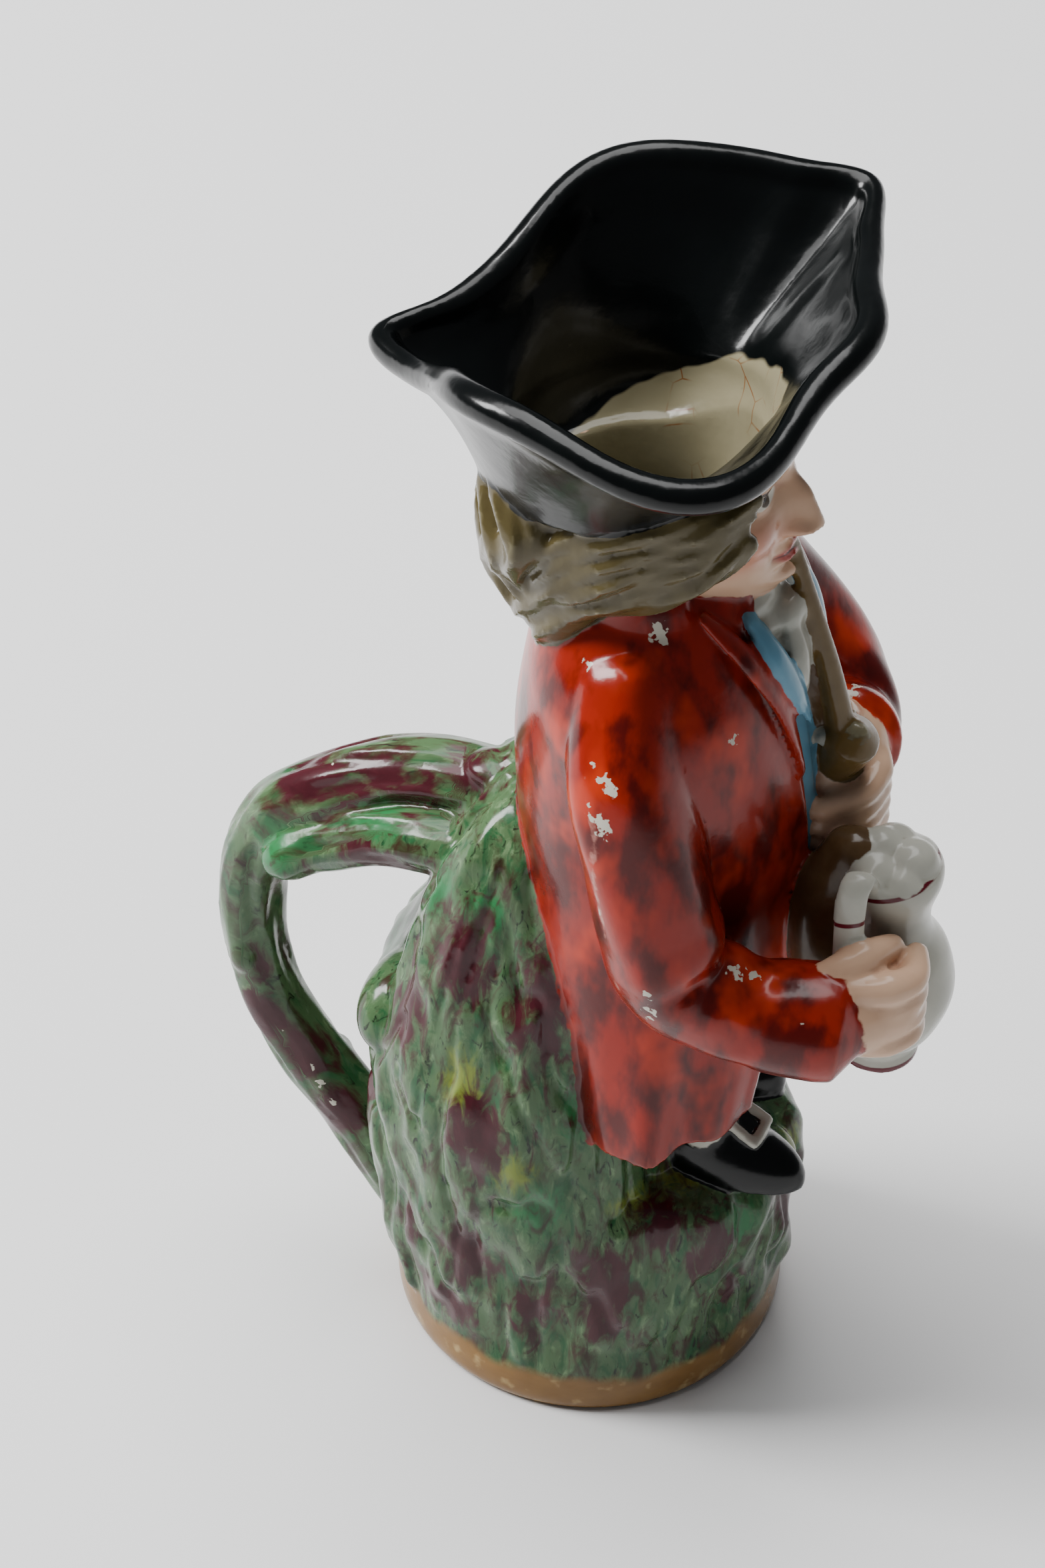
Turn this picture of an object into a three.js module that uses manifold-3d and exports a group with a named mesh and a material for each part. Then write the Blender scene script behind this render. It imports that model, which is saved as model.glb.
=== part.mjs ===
// A toby jug: a glazed earthenware jug in the form of a stout man in a tricorn hat, who stands on a rocky
// mound with his back against a tree stump. His hat is the jug's mouth and a crooked branch behind him is its
// handle. He holds a small ale jug in his right hand and a clay pipe in his left.
//
// The jug is one fired piece, so it is one solid. Millimetres, +Z up. The man faces -Y and his left is +X.
// The origin is the centre of the flat foot.

import * as THREE from "three";
import Module from "manifold-3d";
import { LoftGeometry } from "three/addons/geometries/LoftGeometry.js";
import { mergeVertices } from "three/addons/utils/BufferGeometryUtils.js";

const wasm = await Module();
wasm.setup();

// ---- Driving sizes ----

const WALL = 5; // thickness of the hat's wall
const LIP = 7; // thickness of the rounded lip round its rim
const FOOT_R = 46;
const FOOT_BAND = 12; // height of the plain band round the foot
const GROUND_Z = 65; // where the man stands
const HEM_Z = 90; // lower edge of the coat
const WAIST_Z = 150;
const SHOULDER_Z = 216;
const CHIN_Z = 230;
const BRIM_Z = 258.5; // where the hat meets the sides of the head
const RIM_Z = 287; // mean height of the hat's rim
const HEAD_Y = -6; // the head's axis, a little before the foot's centre

const HAT_SEGMENTS = 36;

const TURN = 2 * Math.PI;

// ---- Tools ----

const point = (x, y, z) => new THREE.Vector3(x, y, z);
const smooth = (low, high, x) => THREE.MathUtils.smoothstep(x, low, high);
const bump = (x, middle, width) => Math.exp(-(((x - middle) / width) ** 2));

// A smooth open curve through points.
const curved = (points) => new THREE.CatmullRomCurve3(points, false, "catmullrom", 0.5);

// The solid of a closed geometry, turned so that its faces point out.
function solid(geometry) {
  const bare = new THREE.BufferGeometry();
  bare.setAttribute("position", geometry.attributes.position);
  bare.setIndex(geometry.index);
  const merged = mergeVertices(bare, 1e-4);
  const vertProperties = new Float32Array(merged.attributes.position.array);
  const triVerts = new Uint32Array(merged.index.array);
  const corner = (i) => new THREE.Vector3().fromArray(vertProperties, 3 * triVerts[i]);
  let volume = 0;
  for (let i = 0; i < triVerts.length; i += 3) {
    volume += corner(i).dot(corner(i + 1).cross(corner(i + 2)));
  }
  if (volume < 0) triVerts.reverse();
  return new wasm.Manifold(new wasm.Mesh({ numProp: 3, vertProperties, triVerts }));
}

const union = (solids) => solids.reduce((whole, next) => whole.add(next));

// A round form that rises through level stations [x, y, z, half width, half depth]. relief(angle, z) swells or
// hollows it; the angle is 0 in front and a quarter turn at the man's left. square over 2 fills the corners.
function form(stations, segments, rings, { relief = () => 0, square = 2 } = {}) {
  const spine = curved(stations.map(([x, y, z]) => point(x, y, z)));
  const girth = curved(stations.map((s) => point(s[3], s[4], 0)));
  const corner = (v) => Math.sign(v) * Math.abs(v) ** (2 / square);
  const sections = [];
  for (let i = 0; i <= rings; i++) {
    const centre = spine.getPoint(i / rings);
    const half = girth.getPoint(i / rings);
    const ring = [];
    for (let j = 0; j < segments; j++) {
      const angle = (TURN * j) / segments;
      const out = relief(angle > Math.PI ? angle - TURN : angle, centre.z);
      const x = centre.x + (half.x + out) * corner(Math.sin(angle));
      const y = centre.y - (half.y + out) * corner(Math.cos(angle));
      ring.push(point(x, y, centre.z));
    }
    sections.push(ring);
  }
  return solid(new LoftGeometry(sections, { capStart: true, capEnd: true }));
}

// A limb, finger, twig or lock of hair: round sections along a smooth path, with domed ends.
function limb(path, radii, segments, rings, { flat = 1, domed = true } = {}) {
  const curve = curved(path.map((p) => point(...p)));
  const girth = curved(radii.map((r) => point(r, 0, 0)));
  const { normals, binormals, tangents } = curve.computeFrenetFrames(rings, false);
  const section = (i, t, scale, shift) => {
    const centre = curve.getPoint(t).addScaledVector(tangents[i], shift);
    const radius = girth.getPoint(t).x * scale;
    return Array.from({ length: segments }, (_, j) => {
      const angle = (TURN * j) / segments;
      return centre
        .clone()
        .addScaledVector(normals[i], radius * Math.cos(angle))
        .addScaledVector(binormals[i], flat * radius * Math.sin(angle));
    });
  };
  const sections = [];
  for (let i = 0; i <= rings; i++) sections.push(section(i, i / rings, 1, 0));
  if (domed) {
    sections.unshift(section(0, 0, 0.55, -0.75 * radii[0]));
    sections.push(section(rings, 1, 0.55, 0.75 * radii.at(-1)));
  }
  return solid(new LoftGeometry(sections, { capStart: true, capEnd: true }));
}

// An egg-shaped lump at a place, with its three half sizes, leaning by turns about X, Y and Z in degrees.
function lump([x, y, z], [rx, ry, rz], turn = [0, 0, 0], segments = 7, rings = 4) {
  const made = new THREE.SphereGeometry(1, segments, rings);
  made.scale(rx, ry, rz);
  const [ax, ay, az] = turn.map(THREE.MathUtils.degToRad);
  made.applyMatrix4(new THREE.Matrix4().makeRotationFromEuler(new THREE.Euler(ax, ay, az)));
  made.translate(x, y, z);
  return solid(made);
}

// The same on both sides of the man.
const pair = (make) => [make(-1), make(1)];

// ---- Mound and stump ----

// Broad uneven facets, as of rock and bark, that run up and down.
function bark(angle, z) {
  const slow = 1.1 * Math.sin(3 * angle + 0.05 * z) + 0.9 * Math.sin(5 * angle - 0.03 * z + 1);
  const quick = 0.6 * Math.sin(9 * angle + 0.08 * z + 2);
  return slow + quick;
}

function makeMound() {
  const stations = [
    [2, 1, 0, FOOT_R - 0.7, FOOT_R - 0.7],
    [2, 1, 3, FOOT_R + 0.5, FOOT_R + 0.5],
    [2, 1, FOOT_BAND - 2, FOOT_R + 0.3, FOOT_R + 0.3],
    [1, 0, 20, FOOT_R - 1.5, FOOT_R - 0.5],
    [0, -1, 36, 43, 46],
    [0, -2, 50, 41.5, 46.5],
    [0, -3, GROUND_Z - 4, 38, 44.5],
    [0, -4, GROUND_Z, 30, 37],
    [0, -5, GROUND_Z + 1.5, 14, 18],
  ];
  const relief = (angle, z) => bark(angle, z) * smooth(FOOT_BAND - 4, FOOT_BAND + 10, z) * 0.9;
  return form(stations, 26, 7, { relief });
}

function makeStump() {
  const stations = [
    [0, 6, 10, 38, 39],
    [0, 9, 30, 41.5, 39],
    [0, 11, 60, 42.5, 39],
    [0, 12, 84, 42.3, 38],
    [0, 12, 100, 40, 34.5],
    [0, 11.5, 115, 36.8, 30],
    [0, 11, 130, 33, 26.5],
    [0, 11, 146, 28.5, 22],
    [0, 11, 158, 22.5, 15],
    [0, 10, 166, 14, 9],
  ];
  const knot = (angle, z) => 4.5 * bump(Math.abs(angle), Math.PI, 0.45) * bump(z, 92, 16);
  const relief = (angle, z) => bark(angle + 0.7, z) * 0.9 + knot(angle, z);
  const trunk = form(stations, 26, 8, { relief, square: 2.4 });
  return union([trunk, lump([-13, 41, 95], [15, 9.5, 12], [0, 0, -14])]); // the stub of a lower branch
}

// ---- Coat, waistcoat and legs ----

// The coat hangs open: the gap is narrow at the chest and wide at the hem, and the cloth falls in soft folds.
function coatRelief(angle, z) {
  const gap = THREE.MathUtils.lerp(0.42, 0.2, smooth(HEM_Z, WAIST_Z + 10, z));
  const open = -2.6 * (1 - smooth(gap - 0.1, gap + 0.1, Math.abs(angle)));
  const fall = 1 - smooth(HEM_Z, WAIST_Z - 8, z);
  const folds = fall * (1.5 * Math.sin(8 * angle + 0.6) + 0.8 * Math.sin(13 * angle));
  return open * (1 - smooth(SHOULDER_Z, SHOULDER_Z + 8, z)) + folds;
}

function makeCoat() {
  const stations = [
    [0, -20, HEM_Z, 40.5, 24.5],
    [0, -19, 99, 39.5, 26.5],
    [0, -18, 114, 37.5, 29],
    [0, -17, 131, 35.5, 31.5],
    [0, -16.5, WAIST_Z, 34.5, 32.5],
    [0, -16, 172, 35.5, 32.5],
    [0, -15, 190, 37.5, 31.5],
    [0, -14, SHOULDER_Z - 10, 38.5, 29],
    [0, -13, SHOULDER_Z, 35.5, 26.5],
    [0, -13, SHOULDER_Z + 9, 29.5, 23],
    [0, -14, SHOULDER_Z + 16, 23.5, 19.5],
    [0, -15, SHOULDER_Z + 21, 18, 15.5],
  ];
  return form(stations, 32, 9, { relief: coatRelief });
}

function makeLegs() {
  return pair((side) =>
    limb(
      [
        [side * 12, -28, 100],
        [side * 12, -30, 82],
        [side * 12, -32, GROUND_Z + 4],
      ],
      [10, 8.5, 6.5],
      8,
      2,
    ),
  );
}

function makeShoe(side) {
  const back = side > 0 ? 12 : 0; // the left foot stands behind the right
  const stations = [
    [0, -2, -2, 8.6, 19],
    [0, -2, 2, 9, 19.4],
    [0, -1, 7, 8.6, 18],
    [0, 2, 12, 7.2, 14],
    [0, 5, 17, 5.6, 10],
  ];
  const shoe = form(stations, 14, 4);
  const buckle = solid(new THREE.TorusGeometry(4.6, 1.2, 5, 4).rotateZ(Math.PI / 4))
    .rotate([-38, 0, 0])
    .translate([0, -9.5, 12.4]);
  return union([shoe, buckle])
    .rotate([0, 0, side * 7])
    .translate([side * 11.5, back - 33, GROUND_Z]);
}

// ---- Head, hair and neckcloth ----

function makeHead() {
  const stations = [
    [0, HEAD_Y - 13, CHIN_Z - 11, 12, 13],
    [0, HEAD_Y - 12.5, CHIN_Z - 5, 12.5, 15],
    [0, HEAD_Y - 11, CHIN_Z - 1, 13.5, 18.5],
    [0, HEAD_Y - 9, CHIN_Z + 3, 16.5, 22.5],
    [0, HEAD_Y - 7.5, CHIN_Z + 8, 19.2, 25],
    [0, HEAD_Y - 6, CHIN_Z + 14, 21, 26.6],
    [0, HEAD_Y - 5, CHIN_Z + 21, 21.8, 27.6],
    [0, HEAD_Y - 4, CHIN_Z + 29, 22.4, 28.6],
    [0, HEAD_Y - 3, CHIN_Z + 38, 23, 29],
  ];
  const sockets = (angle, z) => -2 * bump(Math.abs(angle), 0.36, 0.2) * bump(z, CHIN_Z + 26.5, 3.5);
  const cheeks = (angle, z) => 1.2 * bump(Math.abs(angle), 0.6, 0.25) * bump(z, CHIN_Z + 14, 5);
  const skull = form(stations, 22, 7, { relief: (a, z) => sockets(a, z) + cheeks(a, z) });
  const face = HEAD_Y - 32; // how far forward the face stands
  return union([
    skull,
    lump([0, face - 1.6, CHIN_Z + 15.5], [3.2, 4.2, 2.6]), // tip of the nose
    lump([0, face + 0.4, CHIN_Z + 21.5], [2.2, 3.6, 7.5], [16, 0, 0]), // bridge
    lump([0, face + 3, CHIN_Z + 3.6], [6, 4.4, 4.4]), // chin
    lump([0, face + 1.7, CHIN_Z + 10.7], [5.4, 2.4, 1.3]), // upper lip
    lump([0, face + 2.1, CHIN_Z + 8.6], [4.6, 2.4, 1.5]), // lower lip
    ...pair((s) => lump([s * 2.9, face + 1.6, CHIN_Z + 15.2], [1.9, 2.6, 1.8], [0, 0, 0], 6, 4)), // nostrils
    ...pair((s) => lump([s * 8.6, face + 3.6, CHIN_Z + 27], [3.4, 2.7, 2.4], [0, 0, s * 16])), // eyes
    ...pair((s) => lump([s * 9, face + 3.4, CHIN_Z + 32], [5.6, 2.6, 1.6], [0, s * 8, s * 16])), // brows
  ]);
}

// The hair is combed back over the ears and falls in loose curls, longest at the back, onto the collar.
function makeHair() {
  const mass = [
    [0, 5, CHIN_Z - 17, 13, 6],
    [0, 4.5, CHIN_Z - 12, 20, 10.5],
    [0, 3.5, CHIN_Z - 6, 25, 14],
    [0, 0.5, CHIN_Z + 1, 27.2, 18.5],
    [0, -2.5, CHIN_Z + 11, 28.3, 22.5],
    [0, -5.5, CHIN_Z + 20, 29, 25.5],
    [0, -6.5, CHIN_Z + 29, 29.5, 26],
    [0, -6, CHIN_Z + 38, 28, 25],
  ];
  const waves = (angle, z) => {
    const strand = Math.sin(15 * angle + 0.22 * (z - CHIN_Z));
    return strand * smooth(0.9, 1.5, Math.abs(angle)) * 1.1;
  };
  const curls = [];
  for (let i = 0; i < 7; i++) {
    const angle = Math.PI + (i - 3) * 0.4;
    const at = (wide, deep, z, swing) => {
      const a = angle + swing;
      return [wide * Math.sin(a), 2 - deep * Math.cos(a), z];
    };
    const low = CHIN_Z - 15.5 + 4.3 * Math.abs(i - 3) ** 1.1;
    const path = [
      at(26, 16, low + 29, -0.1),
      at(27, 16.5, low + 18, 0.06),
      at(24, 14, low + 8, -0.08),
      at(18, 10, low, 0.06),
    ];
    curls.push(limb(path, [3.6, 4.6, 4.4, 2.8], 6, 3));
  }
  const sides = pair((s) =>
    limb(
      [
        [s * 22.5, -35, CHIN_Z + 30],
        [s * 25.5, -27, CHIN_Z + 21],
        [s * 26.5, -16, CHIN_Z + 14],
        [s * 25.5, -5, CHIN_Z + 7],
        [s * 21, 5, CHIN_Z],
      ],
      [4, 5.2, 5.6, 5.2, 4],
      6,
      4,
    ),
  );
  return union([form(mass, 28, 5, { relief: waves }), ...curls, ...sides]);
}

function makeNeckcloth() {
  const wrap = [
    [0, -18, SHOULDER_Z - 4, 15, 16],
    [0, -19, SHOULDER_Z + 3, 18, 19],
    [0, -20, SHOULDER_Z + 9, 18, 18.5],
    [0, -20, SHOULDER_Z + 15, 14, 15.5],
  ];
  const folds = (angle, z) => 0.7 * Math.sin(1.1 * (z - SHOULDER_Z) + 2 * Math.abs(angle));
  const knot = lump([0, -38.5, SHOULDER_Z + 6], [5.4, 4.5, 4.6], [0, 0, 0], 6, 4);
  const ends = pair((s) => lump([s * 3.6, -41, SHOULDER_Z - 2], [3.6, 3.4, 7.5], [12, 0, 0], 6, 4));
  return union([form(wrap, 14, 4, { relief: folds }), knot, ...ends]);
}

// A turned-back front edge, which narrows downwards.
function makeLapel(path, width) {
  return limb(path, [0.7 * width, width, 0.5 * width], 5, 3, { flat: 0.6 });
}

function makeLapels() {
  const z = SHOULDER_Z;
  return pair((s) =>
    union([
      makeLapel([[s * 9, -36, z + 6], [s * 11, -43, z - 8], [s * 7, -47.5, z - 24]], 4),
      makeLapel([[s * 17, -31, z + 10], [s * 18, -39, z - 8], [s * 11, -46, z - 34]], 4.6),
    ]),
  );
}

// ---- Arms, hands and what they hold ----

function makeRightArm() {
  const sleeve = limb(
    [
      [-27, -14, 216],
      [-36, -17, 200],
      [-39.5, -22, 182],
      [-40.5, -28, 163],
      [-39.5, -34, 149],
      [-37.5, -50, 143.5],
    ],
    [11, 12.5, 12.8, 13, 12.8, 11.2],
    11,
    8,
  );
  const cuff = limb([[-37.5, -46, 143.5], [-35, -60, 142.5]], [12, 12.8], 11, 1, { domed: false });
  return union([sleeve, cuff]);
}

function makeRightHand() {
  const fist = limb([[-34, -53, 144], [-30, -62, 143], [-25.5, -70, 144]], [8.6, 10.4, 9], 8, 2);
  const fingers = [0, 1, 2, 3].map((i) => {
    const z = 151 - 5 * i;
    return limb([[-32, -68, z], [-27, -76, z], [-19, -75.5, z]], [3.2, 3.4, 2.8], 5, 1);
  });
  const thumb = limb([[-31, -60, 153], [-25, -67, 155], [-18, -70, 152]], [3.4, 3.6, 2.6], 5, 2);
  return union([fist, ...fingers, thumb]);
}

// The ale jug: a round body, a narrow neck with foam over its rim, and a strap handle in his fist. A web of
// clay joins it to his coat.
function makeAleJug() {
  const stations = [
    [0, 0, 0, 9.4, 9.4],
    [0, 0, 2.4, 9, 9],
    [0, 0, 9, 12.4, 12.4],
    [0, 0, 21, 15.4, 15.4],
    [0, 0, 32, 13.4, 13.4],
    [0, 0, 39, 9.4, 9.4],
    [0, 0, 46, 9, 9],
    [0, 0, 53, 10.6, 10.6],
    [0, 0, 57, 10, 10],
    [0, 0, 60, 6, 6],
  ];
  const body = form(stations, 12, 8);
  const foam = [lump([-4, 2, 57], [7, 6, 4.6]), lump([4, -2, 57.5], [6.5, 6, 4.4])];
  const handle = limb([[-9, 3, 55], [-15, 5, 57], [-17, 5, 45], [-12, 3, 21]], [3.6, 3.6, 3.6, 3.2], 5, 4);
  const web = lump([-4, 15, 42], [7, 12, 14]);
  return union([body, ...foam, handle, web]).translate([-8, -67, 110]);
}

function makeLeftArm() {
  const sleeve = limb(
    [[27, -15, 214], [37, -22, 200], [41, -31, 185], [40.5, -41, 171], [33, -46.5, 165], [23, -47, 170]],
    [10.5, 12.3, 12.6, 12, 11.4, 10.8],
    11,
    8,
  );
  const cuff = limb([[28, -46.8, 167.5], [18, -48, 173]], [12, 12.4], 11, 1, { domed: false });
  return union([sleeve, cuff]);
}

function makeLeftHand() {
  const fist = limb([[21, -48, 171], [14, -49, 170], [7, -48, 170]], [9, 10, 8.5], 8, 2);
  const fingers = [0, 1, 2, 3].map((i) => {
    const z = 175 - 4.4 * i;
    return limb([[13, -56, z], [4, -57.5, z - 1], [-3, -51, z - 2]], [2.8, 3.1, 2.6], 5, 1);
  });
  return union([fist, ...fingers]);
}

// A clay pipe: the bowl in his hand and the stem up to his mouth, backed by a web of clay on the chest.
function makePipe() {
  const stem = limb([[2, HEAD_Y - 32, CHIN_Z + 9], [3, -46.5, 205], [4, -50, 186]], [1.9, 2.3, 2.9], 6, 3, {
    domed: false,
  });
  const bowlPath = [
    [8, -46.5, 170],
    [6.2, -50.5, 180],
    [3.2, -54.4, 188.5],
  ];
  const bowl = limb(bowlPath, [3.6, 5.4, 5.7], 10, 2, { domed: false });
  const bore = limb([[5.1, -52, 183], [2.4, -55.4, 191]], [2.3, 2.5], 8, 1, { domed: false });
  const web = limb([[2, -39, 230], [3, -43, 208], [4, -46, 190]], [3, 3.6, 3.2], 6, 2);
  return union([stem, bowl, web]).subtract(bore);
}

// ---- Hat ----

// The rim is a soft triangle, with one corner at the back and two in front, and the brim dips at the back. The
// back and front left corners end in small rounded ears. The angle is 0 in front.
function rimRadius(angle) {
  const round = 48.4 + 2.9 * Math.cos(angle) - 4.7 * Math.cos(2 * angle);
  const triangle = 1.9 * Math.cos(6 * angle) - 4.8 * Math.cos(3 * angle);
  const ears = 7 * bump(angle, Math.PI, 0.17) + 6 * bump(angle, Math.PI / 3, 0.15);
  const front = 3.8 * (bump(angle, 0.1, 0.42) + bump(angle, TURN + 0.1, 0.42));
  return round + triangle - LIP / 2 + 1 + ears + front;
}

function rimHeight(angle) {
  return RIM_Z + 6.4 * Math.cos(angle) - 5.6 * Math.cos(2 * angle) + 4.6 * Math.cos(3 * angle);
}

// Where the hat meets the head: higher over the brow.
function brimHeight(angle) {
  const rise = Math.cos(angle) > 0 ? 9.5 : 2.5;
  return BRIM_Z + rise * Math.cos(angle);
}

// One ring of the hat: up 0 at the head to 1 at the rim, moved out by out and up by lift.
function hatRing(up, out, lift) {
  return Array.from({ length: HAT_SEGMENTS }, (_, j) => {
    const angle = (TURN * j) / HAT_SEGMENTS;
    const radius = THREE.MathUtils.lerp(29.5, rimRadius(angle), up ** 1.15) + out;
    const z = THREE.MathUtils.lerp(brimHeight(angle), rimHeight(angle), up) + lift;
    return point(radius * Math.sin(angle), HEAD_Y - radius * Math.cos(angle), z);
  });
}

const loft = (rings) => solid(new LoftGeometry(rings, { capStart: true, capEnd: true }));

function makeHatBlock() {
  const wall = [0, 0.3, 0.6, 0.85].map((up) => hatRing(up, WALL / 2, 0));
  const lip = [[0.5, -2], [0.5, 1.5], [0.15, 3.5]].map(([out, lift]) => hatRing(1, out * LIP, lift));
  return loft([...wall, ...lip]);
}

// The space inside the hat.
function makeHatSpace() {
  const wall = [0.04, 0.4, 0.85].map((up) => hatRing(up, -WALL / 2, 0));
  const rise = [[-0.5, -1], [-0.5, 1.5], [-0.15, 3.5], [-0.1, 14]];
  const lip = rise.map(([out, lift]) => hatRing(1, out * LIP, lift));
  return loft([...wall, ...lip]);
}

// ---- Handle ----

// A crooked branch with a second limb beside it, sawn off short, and a knot where it leaves the back.
function makeHandle() {
  const branch = limb(
    [
      [2, 10, 148],
      [2, 28, 153],
      [2, 50, 148],
      [1, 70, 135],
      [0, 80, 120],
      [0, 83.5, 98],
      [0, 81, 76],
      [0, 70, 54],
      [-2, 57, 38],
      [-7, 41, 14],
    ],
    [9.5, 9, 8.6, 8.4, 8, 7.6, 7.6, 7.8, 8, 7],
    8,
    14,
  );
  const sidePath = [
    [-8, 8, 138],
    [-9, 26, 143],
    [-8, 46, 140],
    [-7, 62, 132],
    [-8, 70, 127],
  ];
  const side = limb(sidePath, [9, 8, 7, 6, 5.4], 8, 4, { domed: false });
  const hollow = limb([[-7.5, 66, 129.5], [-8.2, 72, 126]], [2.6, 3.4], 8, 1, { domed: false });
  const knot = lump([-1, 22, 161], [6, 7, 3.6], [0, 0, 0], 6, 4);
  return union([branch, side, knot]).subtract(hollow);
}

// ---- The space inside ----

function makeInside() {
  const stations = [
    [1, 4, 7, 30, 32],
    [0, 4, 12, 35, 37],
    [0, 4.5, 34, 37, 38],
    [0, 5, 48, 37, 37],
    [0, 8, 58, 36.5, 33.5],
    [0, 12, 67, 36, 29.5],
    [0, 13, 82, 35.5, 30],
    [0, 12.5, 94, 33.5, 28],
    [0, 8, 105, 31.5, 27.5],
    [0, 1, 115, 30, 29],
    [0, -6, 128, 28, 30],
    [0, -12, 145, 27, 27.5],
    [0, -13, 160, 28, 27],
    [0, -13, 178, 30, 27],
    [0, -11, 198, 31, 26],
    [0, -10, 212, 27, 22],
    [0, -9, 224, 20.5, 19],
    [0, -8, 236, 19, 20],
    [0, HEAD_Y - 2, 248, 20.5, 23],
    [0, HEAD_Y - 1, 257, 23.5, 25],
    [0, HEAD_Y, 265, 26.3, 27],
    [0, HEAD_Y, 272, 28, 28.4],
    [0, HEAD_Y, 278, 29, 29],
  ];
  return form(stations, 16, 14);
}

// ---- The jug ----

function makeJug() {
  const figure = union([
    makeMound(),
    makeStump(),
    makeCoat(),
    ...makeLegs(),
    makeShoe(-1),
    makeShoe(1),
    makeHead(),
    makeHair(),
    makeNeckcloth(),
    ...makeLapels(),
    makeRightArm(),
    makeLeftArm(),
    makeHandle(),
  ]);
  const held = [makeRightHand(), makeAleJug(), makeLeftHand(), makePipe()];
  const made = union([figure, ...held, makeHatBlock()])
    .subtract(makeHatSpace())
    .subtract(makeInside());
  const [body] = made.decompose().sort((a, b) => b.volume() - a.volume()); // pin-hole pockets stay behind
  const { vertProperties, triVerts } = body.getMesh();
  const geometry = new THREE.BufferGeometry();
  geometry.setAttribute("position", new THREE.BufferAttribute(vertProperties, 3));
  geometry.setIndex(new THREE.BufferAttribute(triVerts, 1));
  geometry.computeVertexNormals();
  const glaze = new THREE.MeshStandardMaterial({ color: 0xa32b1c, roughness: 0.22, metalness: 0 });
  const mesh = new THREE.Mesh(geometry, glaze);
  mesh.name = "toby_jug";
  return mesh;
}

const jug = new THREE.Group();
jug.add(makeJug());

export default jug;
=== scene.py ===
import math

import bmesh
import bpy
import numpy as np
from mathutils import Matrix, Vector, noise
from mathutils.bvhtree import BVHTree


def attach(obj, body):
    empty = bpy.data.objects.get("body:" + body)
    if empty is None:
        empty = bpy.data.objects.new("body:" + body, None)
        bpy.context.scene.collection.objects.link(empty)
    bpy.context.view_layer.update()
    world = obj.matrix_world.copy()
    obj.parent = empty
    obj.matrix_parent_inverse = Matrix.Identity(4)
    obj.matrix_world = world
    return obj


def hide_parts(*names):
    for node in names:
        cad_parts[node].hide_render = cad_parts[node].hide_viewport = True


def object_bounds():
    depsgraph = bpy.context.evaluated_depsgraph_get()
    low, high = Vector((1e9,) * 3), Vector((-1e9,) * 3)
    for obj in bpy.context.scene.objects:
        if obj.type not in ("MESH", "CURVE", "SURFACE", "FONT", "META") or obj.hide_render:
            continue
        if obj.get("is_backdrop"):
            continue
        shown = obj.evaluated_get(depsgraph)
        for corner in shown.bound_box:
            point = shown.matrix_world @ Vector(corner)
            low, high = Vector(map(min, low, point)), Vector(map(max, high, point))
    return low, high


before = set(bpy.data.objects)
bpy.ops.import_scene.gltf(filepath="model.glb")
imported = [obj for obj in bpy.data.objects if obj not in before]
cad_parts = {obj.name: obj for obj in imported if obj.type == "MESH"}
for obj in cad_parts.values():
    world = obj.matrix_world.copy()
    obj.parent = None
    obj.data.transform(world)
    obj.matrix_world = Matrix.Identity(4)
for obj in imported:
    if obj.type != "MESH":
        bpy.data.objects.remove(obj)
cad_box = [list(corner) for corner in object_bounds()]

# ---- The rocky mound on its foot ----
# The bottom of the jug: a round foot with a plain band, and over it a rough mound that the man stands on. It is
# cast earthenware, so the rock is soft-edged under the glaze.

MM = 0.001  # every size below is in millimetres of the real jug
TURN = 2 * math.pi
FOOT_R = 46
BAND_TOP = 12
GROUND = 65  # height of the ground under his shoes

clay = {}  # the forms of each painted area: {area: [mesh object, ...]}


def spline(points, t):
    """Smooth line through points, read at t from 0 to 1."""
    points = np.asarray(points, float)
    if points.ndim == 1:
        points = points[:, None]
    last = len(points) - 1
    place = np.clip(np.asarray(t, float), 0, 1) * last
    i = np.minimum(place.astype(int), last - 1)
    f = (place - i)[:, None]
    before = points[np.maximum(i - 1, 0)]
    here = points[i]
    there = points[i + 1]
    after = points[np.minimum(i + 2, last)]
    ahead = 0.5 * (there - before)
    beyond = 0.5 * (after - here)
    return (
        (2 * f**3 - 3 * f**2 + 1) * here
        + (f**3 - 2 * f**2 + f) * ahead
        + (3 * f**2 - 2 * f**3) * there
        + (f**3 - f**2) * beyond
    )


def smooth(low, high, x):
    """0 below low, 1 above high, and a soft step between."""
    t = np.clip((x - low) / (high - low), 0, 1)
    return t * t * (3 - 2 * t)


def bump(x, middle, width):
    """A soft bump, 1 high."""
    return np.exp(-(((x - middle) / width) ** 2))


def grain(points, size, seed=0.0):
    """Smooth random lumps, about size across (a number, or one for each axis), for an array of points."""
    scaled = points / np.asarray(size, float) + seed
    return np.array([noise.noise(Vector(p)) for p in scaled])


def shaped(area, segments, rings, place):
    """Adds a ball and moves each of its points to place(angle, rise), in millimetres. The angle is 0 in front and
    a quarter turn at his left, and rise goes from 0 at the bottom to 1 at the top."""
    bpy.ops.object.select_all(action="DESELECT")
    bpy.ops.mesh.primitive_uv_sphere_add(segments=segments, ring_count=rings, radius=1)
    ball = bpy.context.object
    co = np.empty(3 * len(ball.data.vertices), np.float32)
    ball.data.vertices.foreach_get("co", co)
    co = co.reshape(-1, 3).astype(float)
    angle = np.arctan2(co[:, 0], -co[:, 1])
    rise = np.arccos(np.clip(-co[:, 2], -1, 1)) / math.pi
    ball.data.vertices.foreach_set("co", (MM * place(angle, rise)).astype(np.float32).ravel())
    ball.data.update()
    clay.setdefault(area, []).append(ball)
    return ball


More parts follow.
